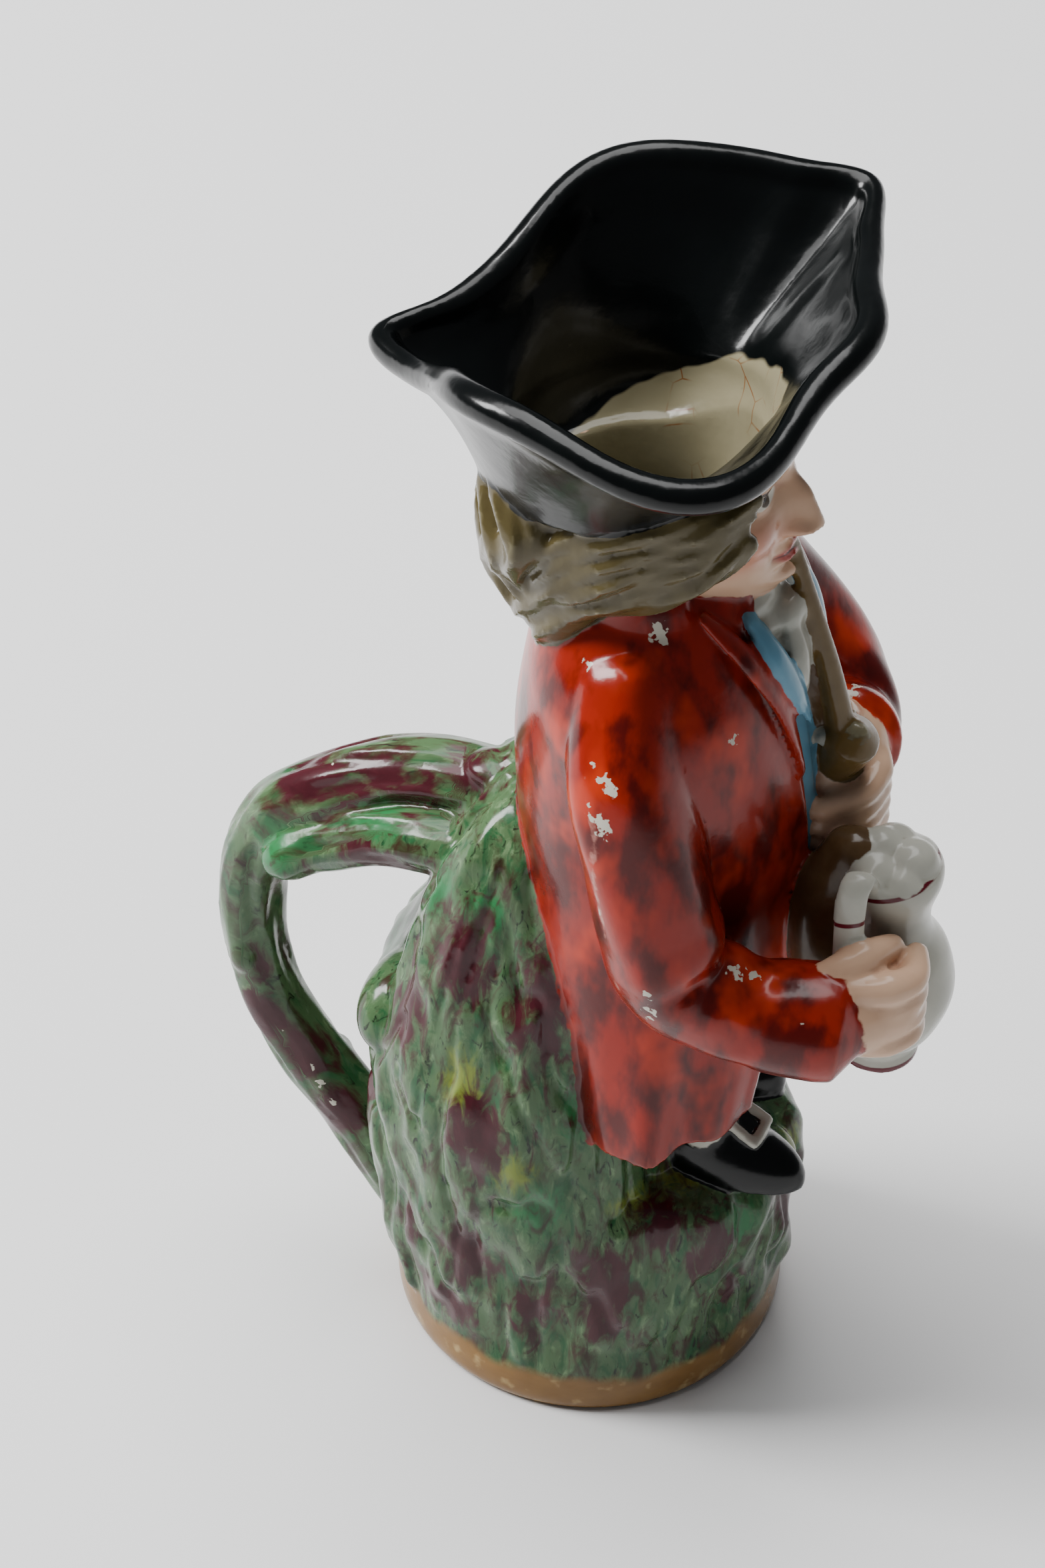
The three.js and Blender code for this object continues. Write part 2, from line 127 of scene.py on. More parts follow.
def form(area, stations, segments=120, rings=90, relief=None, square=2.0, hang=None):
    """A round form that rises through level stations (x, y, z, half width, half depth). relief(angle, z) swells
    or hollows it in millimetres, and hang(angle, z) lifts it."""
    stations = np.asarray(stations, float)
    cap = 3 / rings

    def place(angle, rise):
        at = spline(stations, (rise - cap) / (1 - 2 * cap))
        z = at[:, 2]
        out = relief(angle, z) if relief else 0
        spread = np.clip(np.minimum(rise, 1 - rise) / cap, 0, 1)
        corner = lambda v: np.sign(v) * np.abs(v) ** (2 / square)
        x = at[:, 0] + spread * (at[:, 3] + out) * corner(np.sin(angle))
        y = at[:, 1] - spread * (at[:, 4] + out) * corner(np.cos(angle))
        return np.stack([x, y, z + (hang(angle, z) if hang else 0)], 1)

    return shaped(area, segments, rings, place)


def lump(area, centre, half, turn=(0, 0, 0), segments=28, rings=20):
    """An egg-shaped lump of clay with three half sizes, turned about X, Y and Z in degrees."""
    x, y, z = np.radians(turn)
    about_x = np.array([[1, 0, 0], [0, math.cos(x), -math.sin(x)], [0, math.sin(x), math.cos(x)]])
    about_y = np.array([[math.cos(y), 0, math.sin(y)], [0, 1, 0], [-math.sin(y), 0, math.cos(y)]])
    about_z = np.array([[math.cos(z), -math.sin(z), 0], [math.sin(z), math.cos(z), 0], [0, 0, 1]])
    turned = about_z @ about_y @ about_x

    def place(angle, rise):
        level = np.sin(math.pi * rise)
        ball = np.stack([level * np.sin(angle), -level * np.cos(angle), -np.cos(math.pi * rise)], 1)
        return (ball * np.asarray(half, float)) @ turned.T + np.asarray(centre, float)

    return shaped(area, segments, rings, place)


def rock(angle, z):
    """Soft broken facets of rock and bark, with furrows that run up and down."""
    on = np.stack([40 * np.sin(angle), 40 * np.cos(angle), z], 1)
    broad = 1.1 * np.sin(3 * angle + 0.05 * z) + 0.9 * np.sin(5 * angle - 0.03 * z + 1)
    flakes = 2.2 * grain(on, (8, 8, 19), 7) + 0.7 * grain(on, (3.2, 3.2, 7), 3)
    furrows = -1.6 * (1 - smooth(0, 0.16, np.abs(grain(on, (9, 9, 34)))))
    return 0.8 * broad + flakes + furrows


form(
    "rock",
    [
        (2, 1, 0, FOOT_R - 0.7, FOOT_R - 0.7),
        (2, 1, 3, FOOT_R + 0.5, FOOT_R + 0.5),
        (2, 1, BAND_TOP - 2, FOOT_R + 0.3, FOOT_R + 0.3),
        (1, 0, 20, FOOT_R - 1.5, FOOT_R - 0.5),
        (0, -1, 36, 43, 46),
        (0, -2, 50, 41.5, 46.5),
        (0, -3, GROUND - 4, 38, 44.5),
        (0, -4, GROUND, 30, 37),
        (0, -5, GROUND + 1.5, 14, 18),
    ],
    segments=280,
    rings=150,
    relief=lambda angle, z: rock(angle, z) * smooth(BAND_TOP - 3, BAND_TOP + 8, z),
)

# ---- The stump behind him ----
# A cut-off tree stump, cast with the mound, which carries his back and the lower end of the handle. A broad knot
# stands out at the back, where the fingers reach round the handle.


def stump_relief(angle, z):
    knot = 5 * bump(np.abs(angle), math.pi - 0.12, 0.34) * bump(z, 92, 11)
    return 1.05 * rock(angle + 0.7, z) + knot


form(
    "rock",
    [
        (0, 6, 10, 38, 39),
        (0, 9, 30, 41.5, 39),
        (0, 11, 60, 42.5, 39),
        (0, 12, 84, 42.3, 38),
        (0, 12, 100, 40, 34.5),
        (0, 11.5, 115, 36.8, 30),
        (0, 11, 130, 33, 26.5),
        (0, 11, 146, 28.5, 22),
        (0, 11, 158, 22.5, 15),
        (0, 10, 166, 14, 9),
    ],
    segments=260,
    rings=170,
    relief=stump_relief,
    square=2.4,
)
lump("rock", (-13, 41, 95), (15, 9.5, 12), (0, 0, -14))
lump("rock", (-27, 27, 110), (6, 6, 14), (0, -8, 0))
lump("rock", (8, 44, 84), (9, 7, 14), (0, 0, 10))

# ---- The branch handle ----
# A crooked branch that grows out of the stump's top and comes down to its foot, with a second limb beside it,
# sawn off short and hollow. It was rolled from clay and luted on, so it is lumpy and nearly round.


def roll(area, path, radii, segments=32, rings=60, flat=1.0, dome=0.1, relief=None, across=None):
    """A roll of clay along a smooth path with rounded ends. relief(angle, along) swells it, and flat presses it."""
    path = np.asarray(path, float)
    chord = path[-1] - path[0]
    if across is None:
        across = np.eye(3)[int(np.argmin(np.abs(chord)))]

    def place(angle, rise):
        t = np.clip((rise - dome) / (1 - 2 * dome), 0, 1)
        centre = spline(path, t)
        step = 1e-3
        tangent = spline(path, np.minimum(t + step, 1)) - spline(path, np.maximum(t - step, 0))
        tangent /= np.linalg.norm(tangent, axis=1)[:, None]
        normal = across - (tangent @ across)[:, None] * tangent
        normal /= np.linalg.norm(normal, axis=1)[:, None]
        side = np.cross(tangent, normal)
        radius = spline(radii, t)[:, 0]
        start = np.clip(1 - rise / dome, 0, 1) * math.pi / 2
        end = np.clip(1 - (1 - rise) / dome, 0, 1) * math.pi / 2
        swell = relief(angle, t) if relief else 0
        girth = (radius * np.cos(start) * np.cos(end) + swell * np.cos(start) * np.cos(end))[:, None]
        shift = (radius * (np.sin(end) - np.sin(start)))[:, None]
        round_ = normal * np.cos(angle)[:, None] + flat * side * np.sin(angle)[:, None]
        return centre + girth * round_ + shift * tangent

    return shaped(area, segments, rings, place)


def branch_bark(angle, along):
    on = np.stack([9 * np.cos(angle), 9 * np.sin(angle), 190 * along], 1)
    furrows = -1.0 * (1 - smooth(0, 0.14, np.abs(grain(on, (5, 5, 45), 2))))
    return 1.2 * grain(on, (7, 7, 24)) + 0.7 * grain(on, (3, 3, 12), 5) + furrows


roll(
    "rock",
    [
        (2, 10, 148),
        (2, 28, 153),
        (2, 50, 148),
        (1, 70, 135),
        (0, 80, 120),
        (0, 83.5, 98),
        (0, 81, 76),
        (0, 70, 54),
        (-2, 57, 38),
        (-5, 47, 24),
        (-7, 41, 14),
    ],
    [9.5, 9, 8.8, 8.6, 8, 7.6, 7.6, 7.8, 8, 7.6, 5],
    segments=72,
    rings=240,
    dome=0.02,
    relief=branch_bark,
)
roll(
    "rock",
    [(-8, 8, 138), (-9, 26, 143), (-8, 46, 140), (-7, 62, 132), (-8, 70.5, 126.5)],
    [9, 8, 7, 6, 6],
    segments=48,
    rings=110,
    dome=0.02,
    relief=lambda angle, along: 0.8 * branch_bark(angle, 0.35 * along),
)
lump("rock", (-1, 22, 161), (6, 8, 3.4))
lump("rock", (-3, 84, 88), (5.5, 4, 7), (0, 0, 0))
lump("rock", (3, 66, 52), (4.5, 5, 5))

# ---- The coat ----
# A long loose coat that hangs open down the front over his waistcoat, gathered on the stump behind. The folds are
# shallow and rounded, as a plaster mould leaves them.

HEM = 90
WAIST = 150
SHOULDER = 216


def opening(z):
    """How far round from the middle the coat's front edge is, as an angle: close at the chest, wide at the hem."""
    return 0.2 + 0.24 * (1 - smooth(HEM, WAIST + 10, z)) + 0.12 * smooth(SHOULDER - 22, SHOULDER + 8, z)


def coat_relief(angle, z):
    inside = 1 - smooth(opening(z) - 0.035, opening(z) + 0.035, np.abs(angle))
    fall = 1 - smooth(HEM, WAIST - 8, z)
    folds = fall * (1.5 * np.sin(8 * angle + 0.6) + 0.8 * np.sin(13 * angle))
    edge = 0.7 * bump(np.abs(angle), opening(z) + 0.07, 0.05)
    back_seam = -0.7 * bump(np.abs(angle), math.pi, 0.03)
    pull = 0.5 * np.sin(3 * angle + 0.09 * z) * smooth(WAIST, WAIST + 20, z)
    return -4 * inside + folds + edge + back_seam + pull


form(
    "coat",
    [
        (0, -20, HEM, 40.5, 24.5),
        (0, -19, 99, 39.5, 26.5),
        (0, -18, 114, 37.5, 29),
        (0, -17, 131, 35.5, 31.5),
        (0, -16.5, WAIST, 34.5, 32.5),
        (0, -16, 172, 35.5, 32.5),
        (0, -15, 190, 37.5, 31.5),
        (0, -14, SHOULDER - 10, 38.5, 29),
        (0, -13, SHOULDER, 35.5, 26.5),
        (0, -13, SHOULDER + 9, 29.5, 23),
        (0, -14, SHOULDER + 16, 23.5, 19.5),
        (0, -15, SHOULDER + 21, 18, 15.5),
    ],
    segments=260,
    rings=150,
    relief=coat_relief,
    hang=lambda angle, z: (4.2 * np.cos(angle) - 0.8) * (1 - smooth(HEM, HEM + 26, z)),
)
# The stand collar, which rises under his hair.
form(
    "coat",
    [
        (0, -14, SHOULDER + 6, 27, 22),
        (0, -13, SHOULDER + 14, 25.5, 20),
        (0, -12, SHOULDER + 21, 23.5, 18),
        (0, -11, SHOULDER + 24, 20, 15),
    ],
    segments=120,
    rings=40,
    relief=lambda angle, z: -9 * (1 - smooth(0.75, 0.95, np.abs(angle))),
)


def lapel(area, path, width, thick=0.5):
    roll(area, path, [0.6 * width, width, 0.9 * width, 0.3 * width], flat=thick, segments=24, rings=40, dome=0.06)


for side in (-1, 1):
    top = SHOULDER
    edge = [(side * 20, -27, top + 17), (side * 17.5, -36, top + 6), (side * 13.5, -42.5, top - 8), (side * 9.5, -47, top - 28)]
    lapel("coat", edge, 3.4, 0.42)

# ---- Sleeves and cuffs ----
# The right arm is bent to hold the ale jug out, and the left is drawn up across the chest with the pipe. The cloth
# is full, creased inside the elbow, and ends in a plain turned cuff.


def sleeve_creases(elbow, inner):
    """Creases that fan out from the inside of the elbow, which faces the angle inner."""

    def relief(angle, along):
        facing = 0.5 + 0.5 * np.cos(angle - inner)
        fan = np.sin(46 * (along - elbow) + 1.6 * np.cos(angle - inner))
        near = bump(along, elbow, 0.16)
        slow = 0.35 * np.sin(5 * angle + 9 * along)
        return 0.8 * near * facing * fan - 1.2 * facing * bump(along, elbow, 0.05) + slow

    return relief


right_arm = [(-27, -14, 216), (-35.5, -16, 200), (-39, -21, 183), (-40.5, -25.5, 166), (-40.2, -29.5, 153.5), (-38.8, -40, 146.5), (-37.5, -50, 143.5)]
left_arm = [(27, -15, 214), (37, -22, 200), (41, -31, 185), (40.5, -41, 171), (33, -46.5, 165), (23, -47, 171)]
ahead = np.array([0, -1.0, 0])
roll("coat", right_arm, [11, 12.4, 12.8, 13, 12.8, 11.8, 11.2], 72, 140, dome=0.06, relief=sleeve_creases(0.66, math.pi / 2))
lump("coat", (-41.5, -24.5, 153), (8.5, 9.4, 8.6))
roll("coat", [(-37.5, -45, 143.7), (-37, -50, 143.3), (-35, -60, 142.5)], [11.2, 12.3, 12.8], 72, 40, dome=0.03)
roll("coat", left_arm, [10.5, 12.3, 12.6, 12, 11.4, 10.6], 72, 140, dome=0.06, across=ahead,
     relief=sleeve_creases(0.68, math.pi))
roll("coat", [(29, -47, 167.2), (25, -47.3, 169.5), (18.5, -49.5, 173.5)], [10.8, 11.6, 12], 72, 40, dome=0.03, across=ahead)

# ---- Waistcoat, breeches, stockings and shoes ----
# What shows in the coat's front opening: a buttoned waistcoat over a stout belly, plain breeches and stockings,
# and square-buckled shoes planted on the mound, the left one set back.

form(
    "waistcoat",
    [
        (0, -21, 112, 22, 23.5),
        (0, -20, 120, 27, 27),
        (0, -18.5, 134, 30, 29.7),
        (0, -18, WAIST, 31, 30.8),
        (0, -17.5, 172, 31, 30.6),
        (0, -16.5, 190, 31, 29.4),
        (0, -16, 204, 30, 27),
        (0, -15, SHOULDER, 27, 24.5),
        (0, -15, SHOULDER + 8, 22, 20),
    ],
    segments=120,
    rings=80,
    relief=lambda angle, z: -0.9 * bump(angle, 0.0, 0.02) - 0.5 * bump(angle, 0.05, 0.015),
)
for i in range(5):
    z = 128 + 15 * i
    y = -18 - spline([29.4, 30.6, 31, 30.6, 29.6], [i / 4])[0, 0]
    lump("waistcoat_button", (1.6, y, z), (1.7, 1.2, 1.7))
for side in (-1, 1):
    flap = [(side * 12, -34.5, top + 12), (side * 12, -40, top + 4), (side * 9.5, -44, top - 6), (side * 5.5, -46.5, top - 17)]
    lapel("waistcoat", flap, 3.4, 0.5)

form(
    "breeches",
    [(0, -20, 94, 24, 15), (0, -20, 102, 27, 19), (0, -20, 118, 26, 22)],
    segments=80,
    rings=30,
    relief=lambda angle, z: -4 * bump(angle, 0, 0.3),
)
for side in (-1, 1):
    back = 12 if side > 0 else 0
    leg = [(side * 12, -26 + back, 100), (side * 12, -29 + back, 84), (side * 12, -31 + back, GROUND + 6)]
    roll("white", leg, [10, 8.6, 6.6], segments=40, rings=40, dome=0.06)
    heel = Vector((side * 11.5, back - 33, GROUND))
    turn = math.radians(7 * side)

    def on_foot(x, y, z):
        return (
            heel.x + x * math.cos(turn) - y * math.sin(turn),
            heel.y + x * math.sin(turn) + y * math.cos(turn),
            heel.z + z,
        )

    # The shoe's upper, rounded at the toe, over a thin sole.
    def shoe_place(angle, rise):
        at = spline([(-2, -1.5, 8.8, 19.2), (-2, 3, 9.2, 19.4), (-1, 7, 8.8, 18), (2, 12, 7, 13.5), (5, 17, 5.4, 9.5)], rise)
        spread = np.clip(np.minimum(rise, 1 - rise) / 0.06, 0, 1)
        x = spread * at[:, 2] * np.sin(angle) * (1 - 0.12 * np.cos(angle))
        y = at[:, 0] - spread * at[:, 3] * np.cos(angle)
        return np.stack(on_foot(x, y, at[:, 1]), 1)

    shaped("shoe", 60, 40, shoe_place)
    ring = [(-4.2, -10.5, 13.2), (4.2, -10.5, 13.2), (3.6, -2.5, 18.0), (-3.6, -2.5, 18.0)]
    for k in range(4):
        ends = [on_foot(*ring[k]), on_foot(*ring[(k + 1) % 4])]
        roll("white", ends, [1.15, 1.15], segments=14, rings=16, dome=0.12)

# ---- Head and face ----
# A calm, full face of plain proportions, modelled in the cast and later painted: lids, nose, lips and chin are all
# soft under the glaze. The head's crown is hidden in the hat.

CHIN = 230
HEAD_Y = -6


def spot(x, z, cx, cz, wide, high):
    """A soft bump on the face, cx and cz from the middle of the face, on both sides of it."""
    return np.exp(-(((np.abs(x) - cx) / wide) ** 2) - ((z - cz) / high) ** 2)


def face(angle, z):
    """How far the features stand out from the head, or are sunk in it."""
    x = 21.5 * np.sin(angle)
    front = smooth(0.1, 0.5, np.cos(angle))
    up = z - CHIN
    ridge = np.exp(-((x / (2.2 + 0.10 * np.clip(28 - up, 0, 12))) ** 2))
    length = smooth(14.2, 16.4, up) * (1 - smooth(24, 31, up))
    nose = (2.2 + 0.40 * np.clip(29 - up, 0, 12.5)) * ridge * length
    nose += 2.3 * spot(x, up, 3.3, 16.4, 1.6, 1.6)
    sockets = -2.6 * spot(x, up, 8.6, 27.3, 5.2, 3.4) - 1.0 * spot(x, up, 3.6, 27.5, 1.8, 2.6)
    brows = 1.3 * spot(x, up, 8.8, 32.4, 6.0, 1.7)
    cheeks = 2.2 * spot(x, up, 12.6, 18.5, 5.2, 5.0) - 0.5 * spot(x, up, 6.9, 13.2, 1.6, 4.0)
    bow = 0.5 * np.exp(-(((np.abs(x) - 1.5) / 1.2) ** 2)) - 0.25 * np.exp(-((x / 0.9) ** 2))
    upper = 1.7 * np.exp(-((x / 5.2) ** 4)) * np.exp(-(((up - 10.9 - bow) / 1.15) ** 2))
    lower = 1.9 * np.exp(-((x / 4.5) ** 4)) * np.exp(-(((up - 8.3) / 1.25) ** 2))
    parting = -1.1 * np.exp(-((x / 5.8) ** 4)) * np.exp(-(((up - 9.6 - 0.02 * x * x) / 0.5) ** 2))
    corners = -0.9 * spot(x, up, 6.4, 9.9, 1.2, 1.1)
    groove = -0.5 * np.exp(-((x / 1.1) ** 2)) * bump(up, 13.0, 1.5)
    chin = 2.6 * np.exp(-((x / 5.2) ** 2)) * bump(up, 2.8, 2.9) - 1.3 * np.exp(-((x / 5) ** 2)) * bump(up, 5.9, 1.1)
    return front * (nose + sockets + brows + cheeks + upper + lower + parting + corners + groove + chin)


form(
    "skin",
    [
        (0, HEAD_Y - 13, CHIN - 11, 12, 13),
        (0, HEAD_Y - 12.5, CHIN - 5, 12.5, 15),
        (0, HEAD_Y - 11, CHIN - 1, 13.5, 18.5),
        (0, HEAD_Y - 9, CHIN + 3, 16.5, 22.5),
        (0, HEAD_Y - 7.5, CHIN + 8, 19.2, 25),
        (0, HEAD_Y - 6, CHIN + 14, 21, 26.6),
        (0, HEAD_Y - 5, CHIN + 21, 21.8, 27.6),
        (0, HEAD_Y - 4, CHIN + 29, 22.4, 28.6),
        (0, HEAD_Y - 3, CHIN + 38, 23, 29),
    ],
    segments=260,
    rings=190,
    relief=face,
)
for side in (-1, 1):
    # The eyeball, and the lids that close over it like two rims.
    lump("skin", (side * 8.5, HEAD_Y - 25.6, CHIN + 27), (3.7, 3.4, 3.2), (0, 0, side * 12))
    lid = lambda up, down: [
        (side * 4.3, HEAD_Y - 28.3, CHIN + 26.6),
        (side * 6.3, HEAD_Y - 29.3, CHIN + 27 + 0.75 * up - 0.75 * down),
        (side * 8.8, HEAD_Y - 29.1, CHIN + 27 + up - down),
        (side * 11.2, HEAD_Y - 27.8, CHIN + 27 + 0.7 * up - 0.7 * down),
        (side * 12.8, HEAD_Y - 25.9, CHIN + 26.4),
    ]
    roll("skin", lid(2.3, 0), [0.5, 0.95, 1.05, 0.9, 0.5], 16, 40)
    roll("skin", lid(0, 2.0), [0.4, 0.7, 0.75, 0.7, 0.4], 16, 40)
    roll("skin", [(side * 21.5, HEAD_Y - 5, CHIN + 28), (side * 22.8, HEAD_Y - 3, CHIN + 22), (side * 21.5, HEAD_Y - 4, CHIN + 15)],
         [1.5, 2.3, 1.4], 16, 24)

# ---- Hair ----
# Combed back from the brow over the ears, in fine strands, then curling down onto the collar in thick ringlets that
# lie side by side. Its lower edge is rolled under.


def strands(angle, z):
    """Fine combed strands that sweep down and back, and are deepest over the ears."""
    side = smooth(0.75, 1.25, np.abs(angle))
    sweep = np.abs(angle) + 0.030 * (z - CHIN) + 0.10 * np.sin(0.16 * (z - CHIN) + 3 * np.abs(angle))
    fine = np.sin(26 * sweep) + 0.5 * np.sin(61 * sweep + 1)
    coarse = np.sin(9.5 * sweep + 0.6)
    return side * (0.55 * fine + 0.9 * coarse)


form(
    "hair",
    [
        (0, 5, CHIN - 17, 13, 6),
        (0, 4.5, CHIN - 12, 20, 10.5),
        (0, 3.5, CHIN - 6, 25, 14),
        (0, 0.5, CHIN + 1, 27.2, 18.5),
        (0, -2.5, CHIN + 11, 28.3, 22.5),
        (0, -5.5, CHIN + 20, 29, 25.5),
        (0, -6.5, CHIN + 29, 29.5, 26),
        (0, -6, CHIN + 38, 28, 25),
    ],
    segments=320,
    rings=120,
    relief=strands,
)


def lock_twist(angle, along):
    """The strands in one lock of hair."""
    return 0.6 * np.sin(4 * angle + 15 * along) + 0.3 * np.sin(9 * angle - 13 * along)


for i in range(7):
    turn = math.pi + (i - 3) * 0.37
    low = CHIN - 17.5 + 4.4 * abs(i - 3) ** 1.15
    path = []
    for down, wide, deep, swing in (
        (40, 26, 16.5, -0.02),
        (32, 27.5, 18, 0.13),
        (22, 28, 18.5, -0.12),
        (12, 26.5, 17, 0.12),
        (3, 21.5, 13, -0.08),
        (-2, 17, 10, 0.04),
    ):
        a = turn + swing * (1 if i < 4 else -1)
        path.append((wide * math.sin(a), 2 - deep * math.cos(a), low + down))
    roll("hair", path, [2.4, 4.4, 4.8, 4.6, 3.6, 1.6], 44, 90, dome=0.06, relief=lock_twist)
for side in (-1, 1):
    # The rolled lower edge, and three locks combed back over the ear.
    edge = [
        (side * 22.5, -35.5, CHIN + 27),
        (side * 25.5, -28, CHIN + 20.5),
        (side * 26.5, -17, CHIN + 13.5),
        (side * 25.5, -5, CHIN + 7.5),
        (side * 21, 6, CHIN + 0.5),
        (side * 11, 11.5, CHIN - 9),
    ]
    roll("hair", edge, [2.2, 3.8, 4.4, 4.4, 4.2, 3], 44, 110, dome=0.05, relief=lock_twist)
    for k in range(3):
        lock = [
            (side * (21 + 0.8 * k), -36.5 + k, CHIN + 37 - 3 * k),
            (side * (25.6 + 0.6 * k), -29 + k, CHIN + 33 - 4.2 * k),
            (side * 28.6, -18 + k, CHIN + 29.5 - 5 * k),
            (side * 28.6, -8, CHIN + 26 - 5.4 * k),
            (side * 26.5, 1, CHIN + 20 - 5.4 * k),
            (side * 22.5, 8, CHIN + 11 - 5 * k),
        ]
        roll("hair", lock, [1.6, 2.8, 3.2, 3.4, 3.4, 2.2], 40, 110, dome=0.05, relief=lock_twist)

# ---- Neckcloth ----
# A plain white cravat wound round his neck, knotted in front, with two short ends tucked into the waistcoat.


def cravat_folds(angle, z):
    return 0.55 * np.sin(1.0 * (z - SHOULDER) + 1.6 * np.abs(angle))


form(
    "white",
    [
        (0, -17, SHOULDER - 14, 16, 22),
        (0, -17.5, SHOULDER - 6, 18, 23.5),
        (0, -18, SHOULDER + 2, 19.5, 22.5),
        (0, -18.5, SHOULDER + 8, 19, 20.5),
        (0, -18.5, SHOULDER + 13, 16.5, 18.5),
        (0, -18, SHOULDER + 16, 12, 14),
    ],
    segments=140,
    rings=70,
    relief=cravat_folds,
)
lump("white", (0, -39.5, SHOULDER + 7), (5.4, 3.6, 4.2))
for side in (-1, 1):
    tail = [(side * 2, -40.5, SHOULDER + 6), (side * 3.4, -43, SHOULDER - 1), (side * 4, -44, SHOULDER - 8)]
    roll("white", tail, [2.4, 3.6, 3.0], 36, 40, flat=0.55, relief=lambda angle, along: 0.4 * np.sin(4 * angle))

# ---- Hands ----
# Two plump fists. The right grips the ale jug by its handle, and the left closes round the pipe's bowl, with the
# fingers laid side by side.

roll("skin", [(-35, -54, 143.5), (-31, -62, 143), (-26, -70, 144)], [8.8, 10.6, 9.2], 48, 40)
for i in range(4):
    z = 152 - 5.2 * i
    finger = [(-33.5, -63, z), (-31.5, -71, z + 0.4), (-26, -76.5, z), (-18.5, -75.5, z - 0.3)]
    roll("skin", finger, [3.0, 3.5, 3.3, 2.7], 28, 44, relief=lambda angle, along: 0.35 * bump(along, 0.42, 0.07))
roll("skin", [(-32, -59, 152.5), (-27.5, -66, 156.5), (-20.5, -70.5, 154.5)], [3.4, 3.6, 2.8], 28, 30)
roll("skin", [(25, -47.5, 171), (15, -50, 174.5), (8, -48.5, 173.5)], [8.4, 9.6, 8.2], 48, 40)
for i in range(4):
    z = 174.5 - 4.4 * i
    finger = [(17, -56, z + 1.2), (10, -58.5, z + 0.4), (2.5, -57, z - 0.6), (-3.5, -50, z - 2)]
    roll("skin", finger, [2.7, 3.1, 3.0, 2.4], 28, 44, relief=lambda angle, along: 0.35 * bump(along, 0.36, 0.07))
roll("skin", [(18, -49, 181), (12, -50.5, 186), (9, -50, 191)], [3.4, 3.2, 2.4], 28, 30)

# ---- Ale jug ----
# A little round-bellied jug with a strap handle, brimming with foam. It is white, lined in dark red, and a web of
# clay behind it joins it to his coat; the web is painted dark brown as painted shade between the jug and the coat.

ALE_X = -8
ALE_Y = -67
ALE_Z = 110
form(
    "ale",
    [
        (ALE_X, ALE_Y, ALE_Z, 8.8, 8.8),
        (ALE_X, ALE_Y, ALE_Z + 2.2, 9.0, 9.0),
        (ALE_X, ALE_Y, ALE_Z + 4.5, 8.6, 8.6),
        (ALE_X, ALE_Y, ALE_Z + 11, 12.6, 12.6),
        (ALE_X, ALE_Y, ALE_Z + 21, 15.4, 15.4),
        (ALE_X, ALE_Y, ALE_Z + 31, 13.6, 13.6),
        (ALE_X, ALE_Y, ALE_Z + 38, 9.6, 9.6),
        (ALE_X, ALE_Y, ALE_Z + 45, 8.9, 8.9),
        (ALE_X, ALE_Y, ALE_Z + 53, 10.8, 10.8),
        (ALE_X, ALE_Y, ALE_Z + 57, 10.6, 10.6),
    ],
    segments=96,
    rings=90,
)
for x, y, z, r in ((-4, 3, 57, 5.6), (4, 1, 57.5, 5.4), (0, -4, 58, 5.6), (-5, -3, 56.5, 4.4), (1, 3, 60, 4.4), (5, -4, 56.5, 3.8)):
    lump("foam", (ALE_X + x, ALE_Y + y, ALE_Z + z), (r, r, 0.8 * r))
strap = [(-9, 3, 56), (-13, 4, 62.5), (-16, 5, 60), (-17, 5, 50), (-16.5, 4.5, 36), (-12, 3, 21)]
strap = [(ALE_X + x, ALE_Y + y, ALE_Z + z) for x, y, z in strap]
roll("ale", strap, [2.8, 3.3, 3.5, 3.5, 3.3, 2.8], 36, 90, flat=0.5, dome=0.05, across=np.array([0, 1.0, 0]))
roll("web", [(ALE_X - 1, ALE_Y + 8, ALE_Z + 58), (ALE_X - 3, ALE_Y + 12, ALE_Z + 44), (ALE_X - 5, ALE_Y + 13, ALE_Z + 28)],
     [5.6, 7.0, 5.6], 40, 50, flat=1.25)

# ---- Pipe ----
# A clay pipe of buff glaze, with its bowl in his left hand and the stem up to his lips. A thin web of clay backs
# the stem, so that it does not stand free, and is painted dark brown as painted shade behind the stem.

stem = [(2, HEAD_Y - 32.5, CHIN + 9), (2.6, -43.5, 222), (3.4, -48, 206), (4, -51.5, 190)]
roll("pipe", stem, [1.7, 2.1, 2.4, 2.9], 32, 80, dome=0.02)
roll("pipe", [(8, -46.5, 170), (7, -49, 176), (5.2, -51.8, 182.5), (3.2, -54.4, 188.5)], [3.2, 4.8, 5.5, 5.7], 48, 60, dome=0.015)
roll("web", [(2, -35, 229), (2.8, -41.5, 216), (4.2, -44.5, 200), (5.4, -45, 188)], [1.8, 2.4, 2.8, 3.0], 32, 60)

# ---- Hat ----
# A tricorn with its brim turned up all round, which is the mouth of the jug: an open bowl with a thick rounded lip.
# Its corners at the back and in front on his left are drawn out into small ears, and the brim dips at the back.

BRIM = 258.5
RIM = 287
HAT_WALL = 5
LIP = 7


def rim_radius(angle):
    round_ = 48.4 + 2.9 * np.cos(angle) - 4.7 * np.cos(2 * angle)
    triangle = 1.9 * np.cos(6 * angle) - 4.8 * np.cos(3 * angle)
    back = np.pi - np.abs(angle)
    ears = 7 * bump(back, 0, 0.17) + 6 * bump(angle, math.pi / 3, 0.15)
    return round_ + triangle - LIP / 2 + 1 + ears + 3.8 * bump(angle, 0.1, 0.42)


def rim_height(angle):
    return RIM + 6.4 * np.cos(angle) - 5.6 * np.cos(2 * angle) + 4.6 * np.cos(3 * angle)


def brim(angle):
    """Height of the hat's lower edge, which rises over his brow."""
    return BRIM + np.where(np.cos(angle) > 0, 9.5, 2.5) * np.cos(angle)


